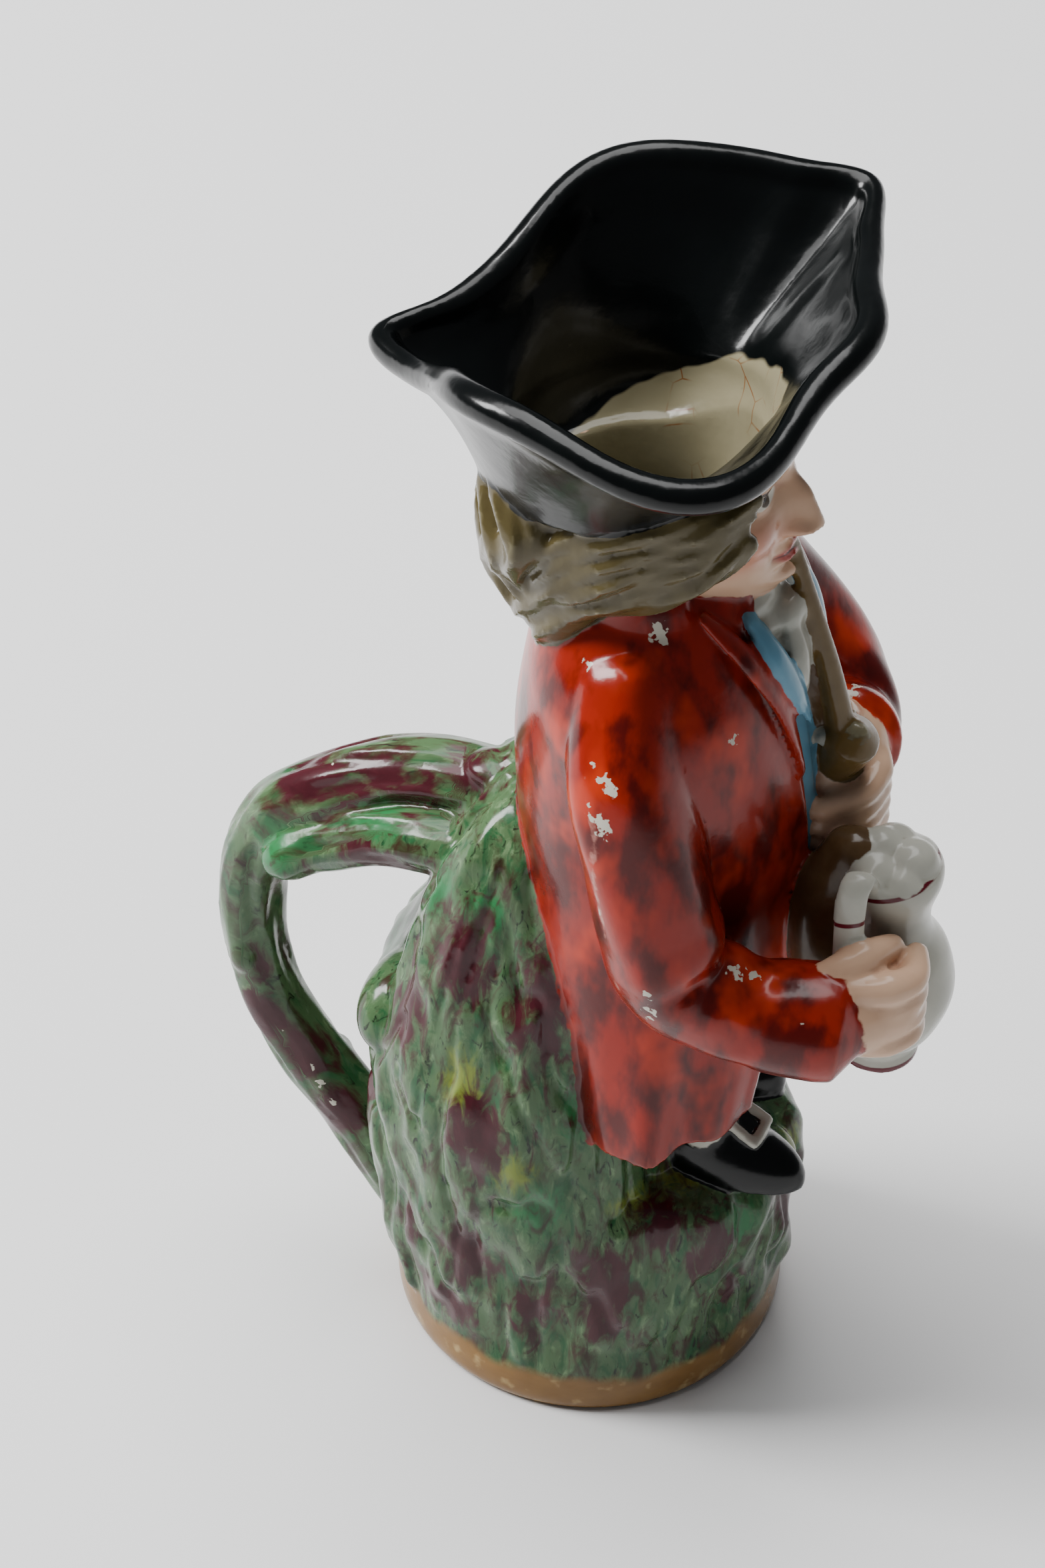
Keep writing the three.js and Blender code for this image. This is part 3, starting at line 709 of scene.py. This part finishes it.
def hat_point(angle, up, out, lift):
    """A point of the hat: up 0 at the head and 1 at the rim, moved out and up."""
    radius = 29.5 + (rim_radius(angle) - 29.5) * up**1.15 + out
    z = brim(angle) + (rim_height(angle) - brim(angle)) * up + lift
    return radius, z


def hat_body(side, floor, top):
    """The hat's outer skin for side 1, or the skin of the space in it for side -1. It starts at floor, and is
    closed above the rim by top."""

    def place(angle, rise):
        up = np.clip((rise - 0.08) / 0.72, 0, 1)
        bead = np.radians((-65 if side > 0 else 0) + (160 if side > 0 else 95) * np.clip((rise - 0.8) / 0.12, 0, 1))
        swell = smooth(0.8, 1, up)
        out = side * ((1 - swell) * HAT_WALL / 2 + swell * LIP / 2 * np.cos(bead))
        lift = swell * (0.5 + LIP / 2 * np.sin(bead))
        crease = bump(angle, 1.03, 0.05) - 0.8 * bump(angle, 0.87, 0.07) - 0.8 * bump(angle, 1.2, 0.07)
        crease = crease + 1.1 * bump(np.pi - np.abs(angle), 0, 0.06)
        crease = crease * smooth(0.25, 0.75, up) * (1 - 0.5 * smooth(0.93, 1, up))
        out = out + (1.6 if side < 0 else 0.4) * crease
        rise_up = floor + (1 - floor) * up
        above = np.maximum(rise_up, 0)
        radius, z = hat_point(angle, above ** (1 if side > 0 else 1.2), out, lift)
        z = brim(angle) + (rim_height(angle) - brim(angle)) * above + lift + 30 * np.minimum(rise_up, 0)
        radius = radius - 40 * np.minimum(rise_up, 0) ** 2
        low = np.clip(rise / 0.08, 0, 1)
        high = np.clip((1 - rise) / 0.08, 0, 1)
        middle = RIM + LIP / 2 + top
        z = np.where(rise > 0.92, z * high + middle * (1 - high) + top * smooth(0, 0.3, 1 - high), z)
        z = np.where(rise < 0.08, z * low + (BRIM + 30 * min(floor, 0)) * (1 - low), z)
        radius = radius * low * high
        return np.stack([radius * np.sin(angle), HEAD_Y - radius * np.cos(angle), z], 1)

    return place


shaped("hat", 360, 200, hat_body(1, 0, 0))

# ---- Joining the clay ----
# The cast parts are luted together while they are soft, so the seams between them are small smooth fillets. The jug
# is slip-cast: hollow to the foot, in one space with the hat.


def only(obj):
    bpy.ops.object.select_all(action="DESELECT")
    obj.select_set(True)
    bpy.context.view_layer.objects.active = obj


def finished(obj, kind, **settings):
    """Applies one modifier."""
    only(obj)
    step = obj.modifiers.new(kind.lower(), kind)
    for name, value in settings.items():
        setattr(step, name, value)
    bpy.ops.object.modifier_apply(modifier=step.name)


def joined(objects, name):
    """One object, made of copies of the others."""
    bpy.ops.object.select_all(action="DESELECT")
    copies = []
    for source in objects:
        copy = source.copy()
        copy.data = source.data.copy()
        bpy.context.scene.collection.objects.link(copy)
        copy.select_set(True)
        copies.append(copy)
    bpy.context.view_layer.objects.active = copies[0]
    bpy.ops.object.join()
    copies[0].name = name
    return copies[0]


VOXEL = 0.65

form(
    "inside",
    [
        (1, 4, 7, 30, 32),
        (0, 4, 12, 35, 37),
        (0, 4.5, 34, 37, 38),
        (0, 5, 48, 37, 37),
        (0, 8, 58, 36.5, 33.5),
        (0, 12, 67, 36, 29.5),
        (0, 13, 82, 35.5, 30),
        (0, 12.5, 94, 33.5, 28),
        (0, 8, 105, 31.5, 27.5),
        (0, 1, 115, 30, 29),
        (0, -6, 128, 28, 30),
        (0, -12, 145, 27, 27.5),
        (0, -13, 160, 28, 27),
        (0, -13, 178, 30, 27),
        (0, -11, 198, 31, 26),
        (0, -10, 212, 27, 22),
        (0, -9, 224, 20.5, 19),
        (0, -8, 236, 19, 20),
        (0, HEAD_Y - 2, 248, 20.5, 23),
        (0, HEAD_Y - 1, 257, 23, 24.5),
        (0, HEAD_Y, 264, 25, 25.5),
        (0, HEAD_Y, 270, 25.5, 25.5),
    ],
    segments=140,
    rings=180,
)
shaped("inside", 360, 200, hat_body(-1, -0.35, 12))
roll("inside", [(5.1, -52, 183), (2.4, -55.4, 191)], [2.1, 2.5], 24, 20, dome=0.02)
roll("inside", [(-7.4, 65, 130), (-8.3, 73, 125.4)], [2.4, 3.6], 24, 20, dome=0.02)

jug = joined([part for area, parts in clay.items() if area != "inside" for part in parts], "toby_jug_body")
finished(jug, "REMESH", mode="VOXEL", voxel_size=VOXEL * MM)
space = joined(clay["inside"], "space")
finished(space, "REMESH", mode="VOXEL", voxel_size=VOXEL * MM)
finished(jug, "BOOLEAN", object=space, operation="DIFFERENCE", solver="MANIFOLD")
bpy.data.objects.remove(space)
finished(jug, "REMESH", mode="VOXEL", voxel_size=VOXEL * MM)
finished(jug, "SMOOTH", factor=0.5, iterations=3)


def thinned(which, target):
    """Thins the plain walls, or the fine shapes of head and hands, to about so many triangles."""
    at = np.array([v.co for v in jug.data.vertices]) / MM
    axis = np.hypot(at[:, 0], at[:, 1] - HEAD_Y)
    head = (at[:, 2] > 202) & (at[:, 2] < 268) & (axis > 25.5)
    held = (at[:, 2] > 108) & (at[:, 2] < 200) & (at[:, 1] < -50)
    chosen = head | held if which == "fine" else ~(head | held)
    group = jug.vertex_groups.new(name=which)
    group.add(np.flatnonzero(chosen).tolist(), 1.0, "REPLACE")
    total = sum(len(face.vertices) - 2 for face in jug.data.polygons)
    inside = sum(len(face.vertices) - 2 for face in jug.data.polygons if chosen[face.vertices[0]])
    ratio = (total - inside + min(target, inside)) / total
    finished(jug, "DECIMATE", ratio=ratio, vertex_group=which, vertex_group_factor=1)


thinned("plain", 124000)
thinned("fine", 70000)
jug.vertex_groups.clear()
only(jug)
bpy.ops.object.shade_smooth()

# ---- Painting ----
# Each area is painted by hand in enamel over the white glazed body, up to the edges of its form. What is written on
# each point of the jug is how far in millimetres it lies inside each area's edge.

mesh = jug.data
count = len(mesh.vertices)
points = np.empty(3 * count, np.float32)
mesh.vertices.foreach_get("co", points)
points = points.reshape(-1, 3).astype(float) / MM


def near(parts):
    """How far each point of the jug is from these forms, in millimetres, up to 5."""
    nearest = np.full(count, 9.0)
    graph = bpy.context.evaluated_depsgraph_get()
    for part in parts:
        tree = BVHTree.FromObject(part, graph)
        corners = np.array([v.co for v in part.data.vertices]) / MM
        close = (points > corners.min(0) - 5) & (points < corners.max(0) + 5)
        for i in np.flatnonzero(close.all(1)):
            distance = tree.find_nearest(Vector(points[i] * MM), 5 * MM)[3]
            if distance is not None:
                nearest[i] = min(nearest[i], distance / MM)
    return nearest


def write(name, values):
    layer = mesh.attributes.new(name, "FLOAT", "POINT")
    layer.data.foreach_set("value", np.asarray(values, np.float32))


areas = sorted(clay)
distances = {area: near(clay[area]) for area in areas}
for area in areas:
    own = distances[area]
    others = [distances[name] for name in areas if name != area]
    if area == "hat":  # it is black on both sides of its wall
        own = np.minimum(own, distances["inside"])
        others = [distances[name] for name in areas if name not in ("hat", "inside")]
    write("in_" + area, np.clip(np.min(others, axis=0) - own, -4, 4))

# How hollow the clay is round each point, in millimetres. The paint is darkened in the hollows as painted shade,
# where the pigment also gathers under the glaze, and made paler on the ridges as a painted highlight.
ends = np.empty(2 * len(mesh.edges), np.int64)
mesh.edges.foreach_get("vertices", ends)
ends = ends.reshape(-1, 2)
links = np.bincount(ends.ravel(), minlength=count)
normals = np.empty(3 * count, np.float32)
mesh.vertices.foreach_get("normal", normals)
normals = normals.reshape(-1, 3)
blurred = points.copy()
for _ in range(6):
    total = np.stack(
        [
            np.bincount(ends[:, 0], blurred[ends[:, 1], k], count) + np.bincount(ends[:, 1], blurred[ends[:, 0], k], count)
            for k in range(3)
        ],
        1,
    )
    blurred = 0.5 * blurred + 0.5 * total / links[:, None]
write("hollow", np.clip(((blurred - points) * normals).sum(1), -2, 2))

# The way the bark runs: down the stump and mound, and along the branches. The last number is the length along
# the grain, pressed to a third, so that a pattern on it is drawn out.
grained = points * (1, 1, 0.36)
branch = spline([(2, 10, 148), (2, 28, 153), (2, 50, 148), (1, 70, 135), (0, 80, 120), (0, 83.5, 98), (0, 81, 76), (0, 70, 54),
                 (-2, 57, 38), (-5, 47, 24), (-7, 41, 14)], np.linspace(0, 1, 200))
far = np.full(count, 99.0)
for i, centre in enumerate(branch):
    distance = np.sqrt(((points - centre) ** 2).sum(1))
    on = (distance < far) & (distance < 15) & (points[:, 1] > 30)
    far[on] = distance[on]
    grained[on] = np.stack([points[on, 0], distance[on] * np.sign(points[on, 1] - centre[1] + 0.001), np.full(on.sum(), 300 + 0.36 * i)], 1)
layer = mesh.attributes.new("grained", "FLOAT_VECTOR", "POINT")
layer.data.foreach_set("vector", (grained * MM).astype(np.float32).ravel())


def patches(spots):
    """Soft patches: place, half width and half height in millimetres."""
    total = np.zeros(count)
    for x, y, z, wide, high in spots:
        d = (points - (x, y, z)) / (wide, wide, high)
        total = np.maximum(total, np.exp(-(d**2).sum(1)))
    return total


# Where the aubergine, the emerald and the yellow-green were laid on thickest.
plum_spots = [
    (-31, 21, 131, 8, 13), (-32, 3, 122, 7, 20), (-31, 34, 111, 5, 16), (-42, 14, 90, 7, 14), (-40, -15, 42, 7, 17),
    (-29, -37, 51, 6, 12), (-41, 17, 45, 7, 12), (-39, 25, 24, 12, 5), (-30, 1, 158, 4, 18), (-34, 35, 42, 4, 10),
    (-32, -26, 62, 5, 10), (-7, 80, 71, 6, 12), (-7, 70, 60, 7, 9), (-9, 61, 44, 7, 9), (-3, 65, 148, 16, 6),
    (-3, 45, 154, 14, 5), (-5, 28, 161, 7, 5), (-14, 45, 138, 15, 4), (-41, 2, 32, 6, 9), (-22, -42, 30, 6, 9),
    (0, -48, 42, 8, 13), (22, -42, 38, 7, 14), (36, -24, 50, 8, 12), (41, -4, 30, 8, 12), (40, 18, 62, 8, 18), (41, 10, 96, 7, 14),
    (32, 36, 40, 8, 14), (24, 40, 84, 8, 16), (28, 20, 122, 7, 14), (10, 50, 60, 9, 14), (-14, 48, 66, 8, 14), (6, 36, 120, 7, 12),
    (4, 82, 112, 8, 12), (5, 78, 64, 6, 10), (8, 58, 150, 12, 5),
]
bright_spots = [
    (-22, 29, 143, 7, 10), (-41, 0, 68, 8, 12), (-12, 73, 130, 9, 9), (-27, 17, 142, 7, 8), (-9, 48, 146, 12, 4), (-35, -7, 95, 6, 12),
    (-21, -41, 55, 7, 8), (30, -30, 30, 9, 12), (40, 6, 76, 8, 14), (0, 50, 100, 9, 12), (26, 34, 60, 8, 14), (6, 84, 96, 7, 14),
]
olive_spots = [(-39, 19, 101, 8, 12), (-20, -27, 66, 8, 4), (-44, 6, 80, 8, 8), (-30, -17, 65, 8, 5), (38, 20, 96, 8, 12), (0, -46, 58, 12, 7)]
write("plum", patches(plum_spots))
write("bright", patches(bright_spots))
write("olive", patches(olive_spots))

# Chips where the enamel has flaked to the white body: place and radius.
chips = [
    (-24, -18.5, 231, 2.0), (-25.5, -20, 229.5, 1.4), (-30, -6, 223.5, 1.3), (-43, -11, 210, 0.9), (-44.8, -14, 208, 1.4), (-45.7, -15.6, 206, 1.5),
    (-48.3, -14.4, 199.2, 1.8), (-48.9, -15.8, 197.5, 1.6), (-46.5, -12, 201, 1.0), (-50.1, -15.3, 175.6, 1.1), (-53.8, -27, 158.6, 1.1),
    (-51.5, -26.4, 150, 1.6), (-52.3, -27, 153, 1.1), (-25.1, -35.3, 207.1, 1.1), (-33.7, -36.7, 167.5, 0.7), (-18.2, -44.1, 149.5, 0.9),
    (-42, -42, 158.5, 1.3), (-41, -44.5, 157.4, 1.3), (-39.5, -46, 156.8, 1.0), (-44.7, -58.4, 151.5, 1.0), (-33.2, -13.3, 82, 1.0),
    (20.4, -49.2, 184.6, 1.6), (23.5, -50, 184.5, 1.3), (39.2, -40, 190, 1.5), (37, -30, 204, 1.2), (33, -22, 214, 1.1), (42, -38, 186, 1.2),
    (30, -47, 182, 1.1), (-2, 58, 154, 1.2), (-1, 62, 152.5, 1.3), (-8, 68, 57, 1.3), (-8.5, 65, 52, 1.2), (-7.5, 75, 66, 1.0), (-8.6, 62, 47, 1.1),
]
chip = np.full(count, -6.0)
for x, y, z, r in chips:
    chip = np.maximum(chip, r - np.sqrt(((points - (x, y, z)) ** 2).sum(1)))
write("chip", chip)

# A line where the enamel is rubbed thin, down the back of the right sleeve.
rubbed = spline([(-44, -10, 206), (-49, -13.5, 196), (-50, -13.5, 187), (-50.5, -15.5, 175), (-51, -17, 163), (-50.5, -20, 152)], np.linspace(0, 1, 60))
write("rubbed", 3 - np.min([np.sqrt(((points - p) ** 2).sum(1)) for p in rubbed], axis=0).clip(0, 3))

for parts in clay.values():
    for part in parts:
        bpy.data.objects.remove(part)


def colour(hex_value):
    """Linear colour of an sRGB hex value."""
    parts = [int(hex_value[i : i + 2], 16) / 255 for i in (1, 3, 5)]
    return [c / 12.92 if c <= 0.04045 else ((c + 0.055) / 1.055) ** 2.4 for c in parts] + [1]


def add(tree, kind, inputs, output=0, **settings):
    """Adds a node with its settings, and gives each input a value or links it to another node's output."""
    made = tree.nodes.new("ShaderNode" + kind)
    for name, value in settings.items():
        setattr(made, name, value)
    for key, value in inputs.items():
        if isinstance(value, bpy.types.NodeSocket):
            tree.links.new(value, made.inputs[key])
        else:
            made.inputs[key].default_value = value
    return made.outputs[output] if made.outputs else made


# Lead-glazed earthenware: a soft white body under a clear glossy glaze, with enamel colours brushed over it and
# fired on. The gloss is wet-looking, and the colours are uneven because they were laid by hand.
glaze = bpy.data.materials.new("lead_glazed_earthenware_with_enamels")
glaze.use_nodes = True
tree = glaze.node_tree
tree.nodes.clear()
place = add(tree, "TexCoord", {}, 3)


def clouds(size, detail=3, stretch=(1, 1, 1), seed=0.0, rough=0.5):
    """Soft random clouds from 0 to 1, size millimetres across, times stretch along each axis."""
    at = add(tree, "Mapping", {0: place, 1: (seed, seed, seed), 3: [1 / (s * size * MM) for s in stretch]})
    return add(tree, "TexNoise", {0: at, 2: 1, 3: detail, 4: rough})


def ramp(value, low, high):
    """0 below low, 1 above high."""
    return add(tree, "MapRange", {0: value, 1: low, 2: high}, interpolation_type="SMOOTHSTEP")


def over(under, top, share):
    """One colour laid over another."""
    return add(tree, "Mix", {0: share, 6: under, 7: top}, 2, data_type="RGBA")


def written(name):
    return add(tree, "Attribute", {}, 2, attribute_name=name)


wobble = add(tree, "Math", {0: clouds(3.2, 2), 1: 0.5}, operation="SUBTRACT")
wobble = add(tree, "Math", {0: wobble, 1: 1.6}, operation="MULTIPLY")


def area(name, shift=0.0, soft=0.2):
    """1 inside a painted area and 0 outside, with a hand-painted edge."""
    inside = add(tree, "Math", {0: written("in_" + name), 1: wobble}, operation="ADD")
    return ramp(inside, shift - soft, shift + soft)


hollow = written("hollow")
# Painted shade in the hollows and a painted highlight on the ridges.
hollow_shade = ramp(hollow, 0.04, 0.5)
ridge_highlight = ramp(hollow, -0.12, -0.55)
height = add(tree, "SeparateXYZ", {0: place}, 2)
depth = add(tree, "SeparateXYZ", {0: place}, 1)
across = add(tree, "SeparateXYZ", {0: place}, 0)

# The bare white glaze, faintly grey.
body = over(colour("#b9b5a6"), colour("#a8a596"), clouds(14))


def streaked(size, detail=4, seed=0.0, warp=1.2):
    """Clouds drawn out along the grain of the bark."""
    at = add(tree, "Attribute", {}, 1, attribute_name="grained")
    at = add(tree, "Mapping", {0: at, 1: (seed, seed, seed), 3: (1 / (size * MM),) * 3})
    return add(tree, "TexNoise", {0: at, 2: 1, 3: detail, 4: 0.55, 8: warp})


# Copper green and manganese aubergine, brushed and sponged down the bark over a mint ground, and run together in
# the fire, so that the edges are soft and streaked.
mint = over(colour("#46603f"), colour("#6f8a62"), ramp(streaked(3.4, 5, 2.2), 0.5, 0.8))
mint = over(mint, colour("#25502f"), ramp(streaked(5, 5, 7.7), 0.47, 0.66))
mint = over(mint, colour("#161f14"), ramp(streaked(2.4, 4, 9.1), 0.56, 0.72))
thick = add(tree, "Math", {0: streaked(3.2, 4, 5.1), 1: written("bright")}, operation="MULTIPLY")
mint = over(mint, colour("#256b3c"), ramp(thick, 0.15, 0.5))
thick = add(tree, "Math", {0: streaked(3.0, 4, 6.1), 1: written("olive")}, operation="MULTIPLY")
mint = over(mint, colour("#6c7a2c"), ramp(thick, 0.2, 0.5))
mint = over(mint, colour("#33261a"), ramp(streaked(6.5, 5, 13.7), 0.5, 0.7))
plum = over(colour("#4a1c24"), colour("#2f1216"), streaked(2.6, 4, 4.4))
laid = add(tree, "Math", {0: written("plum"), 1: 0.4, 2: streaked(4.2, 5, 11.3)}, operation="MULTIPLY_ADD")
rock_paint = over(mint, plum, ramp(laid, 0.54, 0.8))
# Painted shade in the hollows of the rock, and a painted highlight on its ridges.
rock_paint = over(rock_paint, colour("#16211a"), ramp(hollow, 0.25, 1.0))
rock_paint = over(rock_paint, colour("#76906a"), ramp(hollow, -0.4, -1.6))
band = add(tree, "Math", {0: clouds(14, 2), 1: 0.010}, operation="MULTIPLY")
band = add(tree, "Math", {0: height, 1: band}, operation="SUBTRACT")
ochre = over(colour("#8f6c3a"), colour("#6c4a20"), clouds(9, 4, (1, 1, 0.5)))
ochre = over(ochre, colour("#ab8f5e"), ramp(clouds(6, 3, seed=3.3), 0.55, 0.75))
rock_paint = over(ochre, rock_paint, ramp(band, 0.0052, 0.0088))

# Iron red, brushed on thinly, so that it is orange where it is thin and dark where the strokes overlap.
strokes = clouds(9, 4, (1, 1, 2.4), 5.5)
red = over(colour("#8c1c0c"), colour("#4f0c08"), ramp(strokes, 0.42, 0.62))
red = over(red, colour("#b32f12"), ramp(clouds(15, 3, (1, 1, 1.7), 1.2), 0.5, 0.68))
# Painted shade in the coat's hollows, and a painted highlight on its ridges.
red = over(red, colour("#3a0806"), hollow_shade)
red = over(red, colour("#9c3a26"), add(tree, "Math", {0: ridge_highlight, 1: 0.4}, operation="MULTIPLY"))
rub = add(tree, "Math", {0: clouds(3, 3, seed=3.8), 1: 2.6}, operation="MULTIPLY")
rub = add(tree, "Math", {0: rub, 1: written("rubbed")}, operation="ADD")
red = over(red, colour("#b98074"), add(tree, "Math", {0: ramp(rub, 3.3, 4.3), 1: 0.8}, operation="MULTIPLY"))
chip = add(tree, "Math", {0: clouds(1.8, 3, seed=2.2), 1: 0.5}, operation="SUBTRACT")
chip = add(tree, "Math", {0: chip, 1: 5.0, 2: written("chip")}, operation="MULTIPLY_ADD")
chipped = ramp(chip, 0.0, 0.25)
flake = colour("#c3bfb0")

hair_paint = over(colour("#5c5234"), colour("#453c22"), clouds(5, 3, (1, 1, 2)))
# Painted shade in the hair's hollows, and a painted highlight along its ridges.
hair_paint = over(hair_paint, colour("#2f2412"), hollow_shade)
hair_paint = over(hair_paint, colour("#a09878"), ridge_highlight)
skin_paint = over(colour("#d6b397"), colour("#c8a083"), clouds(9))
# Painted shade in the hollows of the face and hands.
skin_paint = over(skin_paint, colour("#9c6a50"), hollow_shade)
black = over(colour("#020303"), colour("#070a0a"), clouds(10, 3, (1, 1, 2)))
tan = over(colour("#6f5a36"), colour("#57431f"), clouds(5))
# Dark brown for the webs of clay: painted shade in the gaps behind the pipe stem and the ale jug.
web_shade_brown = over(colour("#4a331d"), colour("#655036"), clouds(4, 4))
blue = over(colour("#6f9fb4"), colour("#5a8ca6"), clouds(6))
white = over(colour("#bdbcb0"), colour("#a6a59a"), clouds(6))
# Painted shade in the hollows of the white parts.
white = over(white, colour("#77705c"), hollow_shade)

# The face is painted with a fine brush: white eyes with a dark iris and lash line, brown brows and red lips.
side_x = add(tree, "Math", {0: across}, operation="ABSOLUTE")
mirrored = add(tree, "CombineXYZ", {0: side_x, 2: height})
onward = ramp(depth, -0.022, -0.026)


def oval(x, z, wide, high, lean=0.0, soft=0.12):
    """1 inside an oval on the front of the face, and 0 outside. Sizes are in millimetres."""
    at = add(tree, "Mapping", {0: mirrored, 1: (x * MM, 0, z * MM), 2: (0, lean, 0), 3: (wide * MM, 1, high * MM)}, vector_type="TEXTURE")
    length = add(tree, "VectorMath", {0: at}, 1, operation="LENGTH")
    return add(tree, "Math", {0: ramp(length, 1 + soft, 1 - soft), 1: onward}, operation="MULTIPLY")


skin_paint = over(skin_paint, colour("#b5604a"), add(tree, "Math", {0: oval(12, CHIN + 17, 6.5, 5.5, 0, 0.7), 1: 0.6}, operation="MULTIPLY"))
skin_paint = over(skin_paint, colour("#d8d3c4"), oval(8.6, CHIN + 26.9, 3.9, 1.9, 0.05))
skin_paint = over(skin_paint, colour("#4a3a26"), oval(8.4, CHIN + 27.0, 1.75, 1.85))
skin_paint = over(skin_paint, colour("#060505"), oval(8.4, CHIN + 27.1, 0.85, 0.9))
skin_paint = over(skin_paint, colour("#2c1a10"), oval(8.6, CHIN + 29.0, 4.4, 0.5, -0.04, 0.3))
skin_paint = over(skin_paint, colour("#6a4a2c"), oval(9.0, CHIN + 32.6, 5.4, 0.95, 0.06, 0.35))
skin_paint = over(skin_paint, colour("#9c3a30"), oval(0, CHIN + 9.7, 5.6, 2.3, 0, 0.25))
skin_paint = over(skin_paint, colour("#4f1a16"), oval(0, CHIN + 9.7, 5.2, 0.35, 0, 0.4))

# The ale jug is lined in dark red at its rim and foot.
rim_line = add(tree, "Math", {0: depth, 1: 0.28, 2: height}, operation="MULTIPLY_ADD")
off = add(tree, "Math", {0: rim_line, 1: 0.1462}, operation="SUBTRACT")
off = add(tree, "Math", {0: off}, operation="ABSOLUTE")
foot_line = add(tree, "Math", {0: height, 1: 0.1112}, operation="SUBTRACT")
foot_line = add(tree, "Math", {0: foot_line}, operation="ABSOLUTE")
lines = add(tree, "Math", {0: ramp(off, 0.0008, 0.0004), 1: ramp(foot_line, 0.0012, 0.0008)}, operation="MAXIMUM")
ale_white = over(white, colour("#5a1420"), lines)

# Inside, the black of the hat ends on a wavy line, and below it is bare cream glaze with brown crazing.
crazing = add(tree, "TexVoronoi", {0: place, 2: 110, 5: 1}, feature="DISTANCE_TO_EDGE")
crack = add(tree, "Math", {0: ramp(crazing, 0.025, 0.0), 1: ramp(clouds(14, 3, seed=4.4), 0.48, 0.62)}, operation="MULTIPLY")
lining = over(over(colour("#868069"), colour("#6f684f"), clouds(16, 3)), colour("#6b3f1c"), crack)
edge = add(tree, "Math", {0: depth, 1: 0.62, 2: height}, operation="MULTIPLY_ADD")
ripple = add(tree, "Math", {0: clouds(12, 2, seed=6.1), 1: 0.006, 2: edge}, operation="MULTIPLY_ADD")
lining = over(lining, black, ramp(ripple, 0.2548, 0.2556))

paint = over(body, rock_paint, area("rock", -0.6))
for name, layer in (
    # The webs are painted dark brown as painted shade in the gaps behind the stem and the jug.
    ("web", web_shade_brown),
    ("breeches", over(colour("#a39a78"), colour("#8f8561"), clouds(6))),
    ("white", white),
    ("waistcoat", blue),
    ("waistcoat_button", white),
    ("skin", skin_paint),
    ("coat", red),
    ("hair", hair_paint),
    ("shoe", black),
    ("ale", ale_white),
    ("foam", white),
    ("pipe", tan),
    ("hat", black),
    ("inside", lining),
):
    paint = over(paint, layer, area(name, -0.35))
paint = over(paint, flake, chipped)

ripples = clouds(5, 3, seed=8.8)
bumped = add(tree, "Bump", {0: 0.3, 1: 0.0004, 3: ripples})
shine = add(tree, "MapRange", {0: clouds(10, 3, seed=9.9), 3: 0.12, 4: 0.3})
surface = add(
    tree,
    "BsdfPrincipled",
    {"Base Color": paint, "Roughness": shine, "IOR": 1.45, "Specular IOR Level": 0.28, "Coat Weight": 0.08, "Coat Roughness": 0.05, "Normal": bumped},
)
add(tree, "OutputMaterial", {0: surface})
jug.data.materials.clear()
jug.data.materials.append(glaze)
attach(jug, "root")
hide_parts("toby_jug")

# ---- Floor, light and camera ----
# White paper on a table, under soft daylight from a big window high behind him.

bpy.ops.object.select_all(action="DESELECT")
bpy.ops.mesh.primitive_plane_add(size=8, location=(0, 0, 0))
floor = bpy.context.object
floor.name = "paper"
paper = bpy.data.materials.new("white_paper")
paper.use_nodes = True
sheet = paper.node_tree
sheet.nodes["Principled BSDF"].inputs["Base Color"].default_value = colour("#dadada")
sheet.nodes["Principled BSDF"].inputs["Roughness"].default_value = 0.8
floor.data.materials.append(paper)
floor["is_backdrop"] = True


def soft_light(name, place, aim, size, power, tint="#ffffff"):
    lamp = bpy.data.lights.new(name, "AREA")
    lamp.shape = "RECTANGLE"
    lamp.size, lamp.size_y = size
    lamp.energy = power
    lamp.color = colour(tint)[:3]
    holder = bpy.data.objects.new(name, lamp)
    bpy.context.scene.collection.objects.link(holder)
    holder.location = place
    holder.rotation_euler = (Vector(aim) - Vector(place)).to_track_quat("-Z", "Y").to_euler()


soft_light("window", (-0.25, 1.7, 1.5), (0, 0, 0.15), (0.7, 0.9), 80)
soft_light("ceiling", (0.5, 0.6, 2.6), (0, 0, 0.1), (2.6, 2.0), 125)

world = bpy.data.worlds.new("room")
world.use_nodes = True
world.node_tree.nodes["Background"].inputs[0].default_value = colour("#dfe3ea")
world.node_tree.nodes["Background"].inputs[1].default_value = 0.16
bpy.context.scene.world = world

DISTANCE = 0.86
AZIMUTH = math.radians(-72)
ELEVATION = math.radians(43.5)
aim = Vector((0, 0.0175, 0.157))
away = Vector((math.sin(AZIMUTH) * math.cos(ELEVATION), -math.cos(AZIMUTH) * math.cos(ELEVATION), math.sin(ELEVATION)))
lens = bpy.data.cameras.new("camera")
lens.sensor_fit = "VERTICAL"
lens.sensor_height = 36
lens.lens = 5930 / 2352 * 36
camera = bpy.data.objects.new("camera", lens)
bpy.context.scene.collection.objects.link(camera)
camera.location = aim + DISTANCE * away
camera.rotation_euler = (-away).to_track_quat("-Z", "Y").to_euler()
bpy.context.scene.camera = camera

visual_box = [list(corner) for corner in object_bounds()]
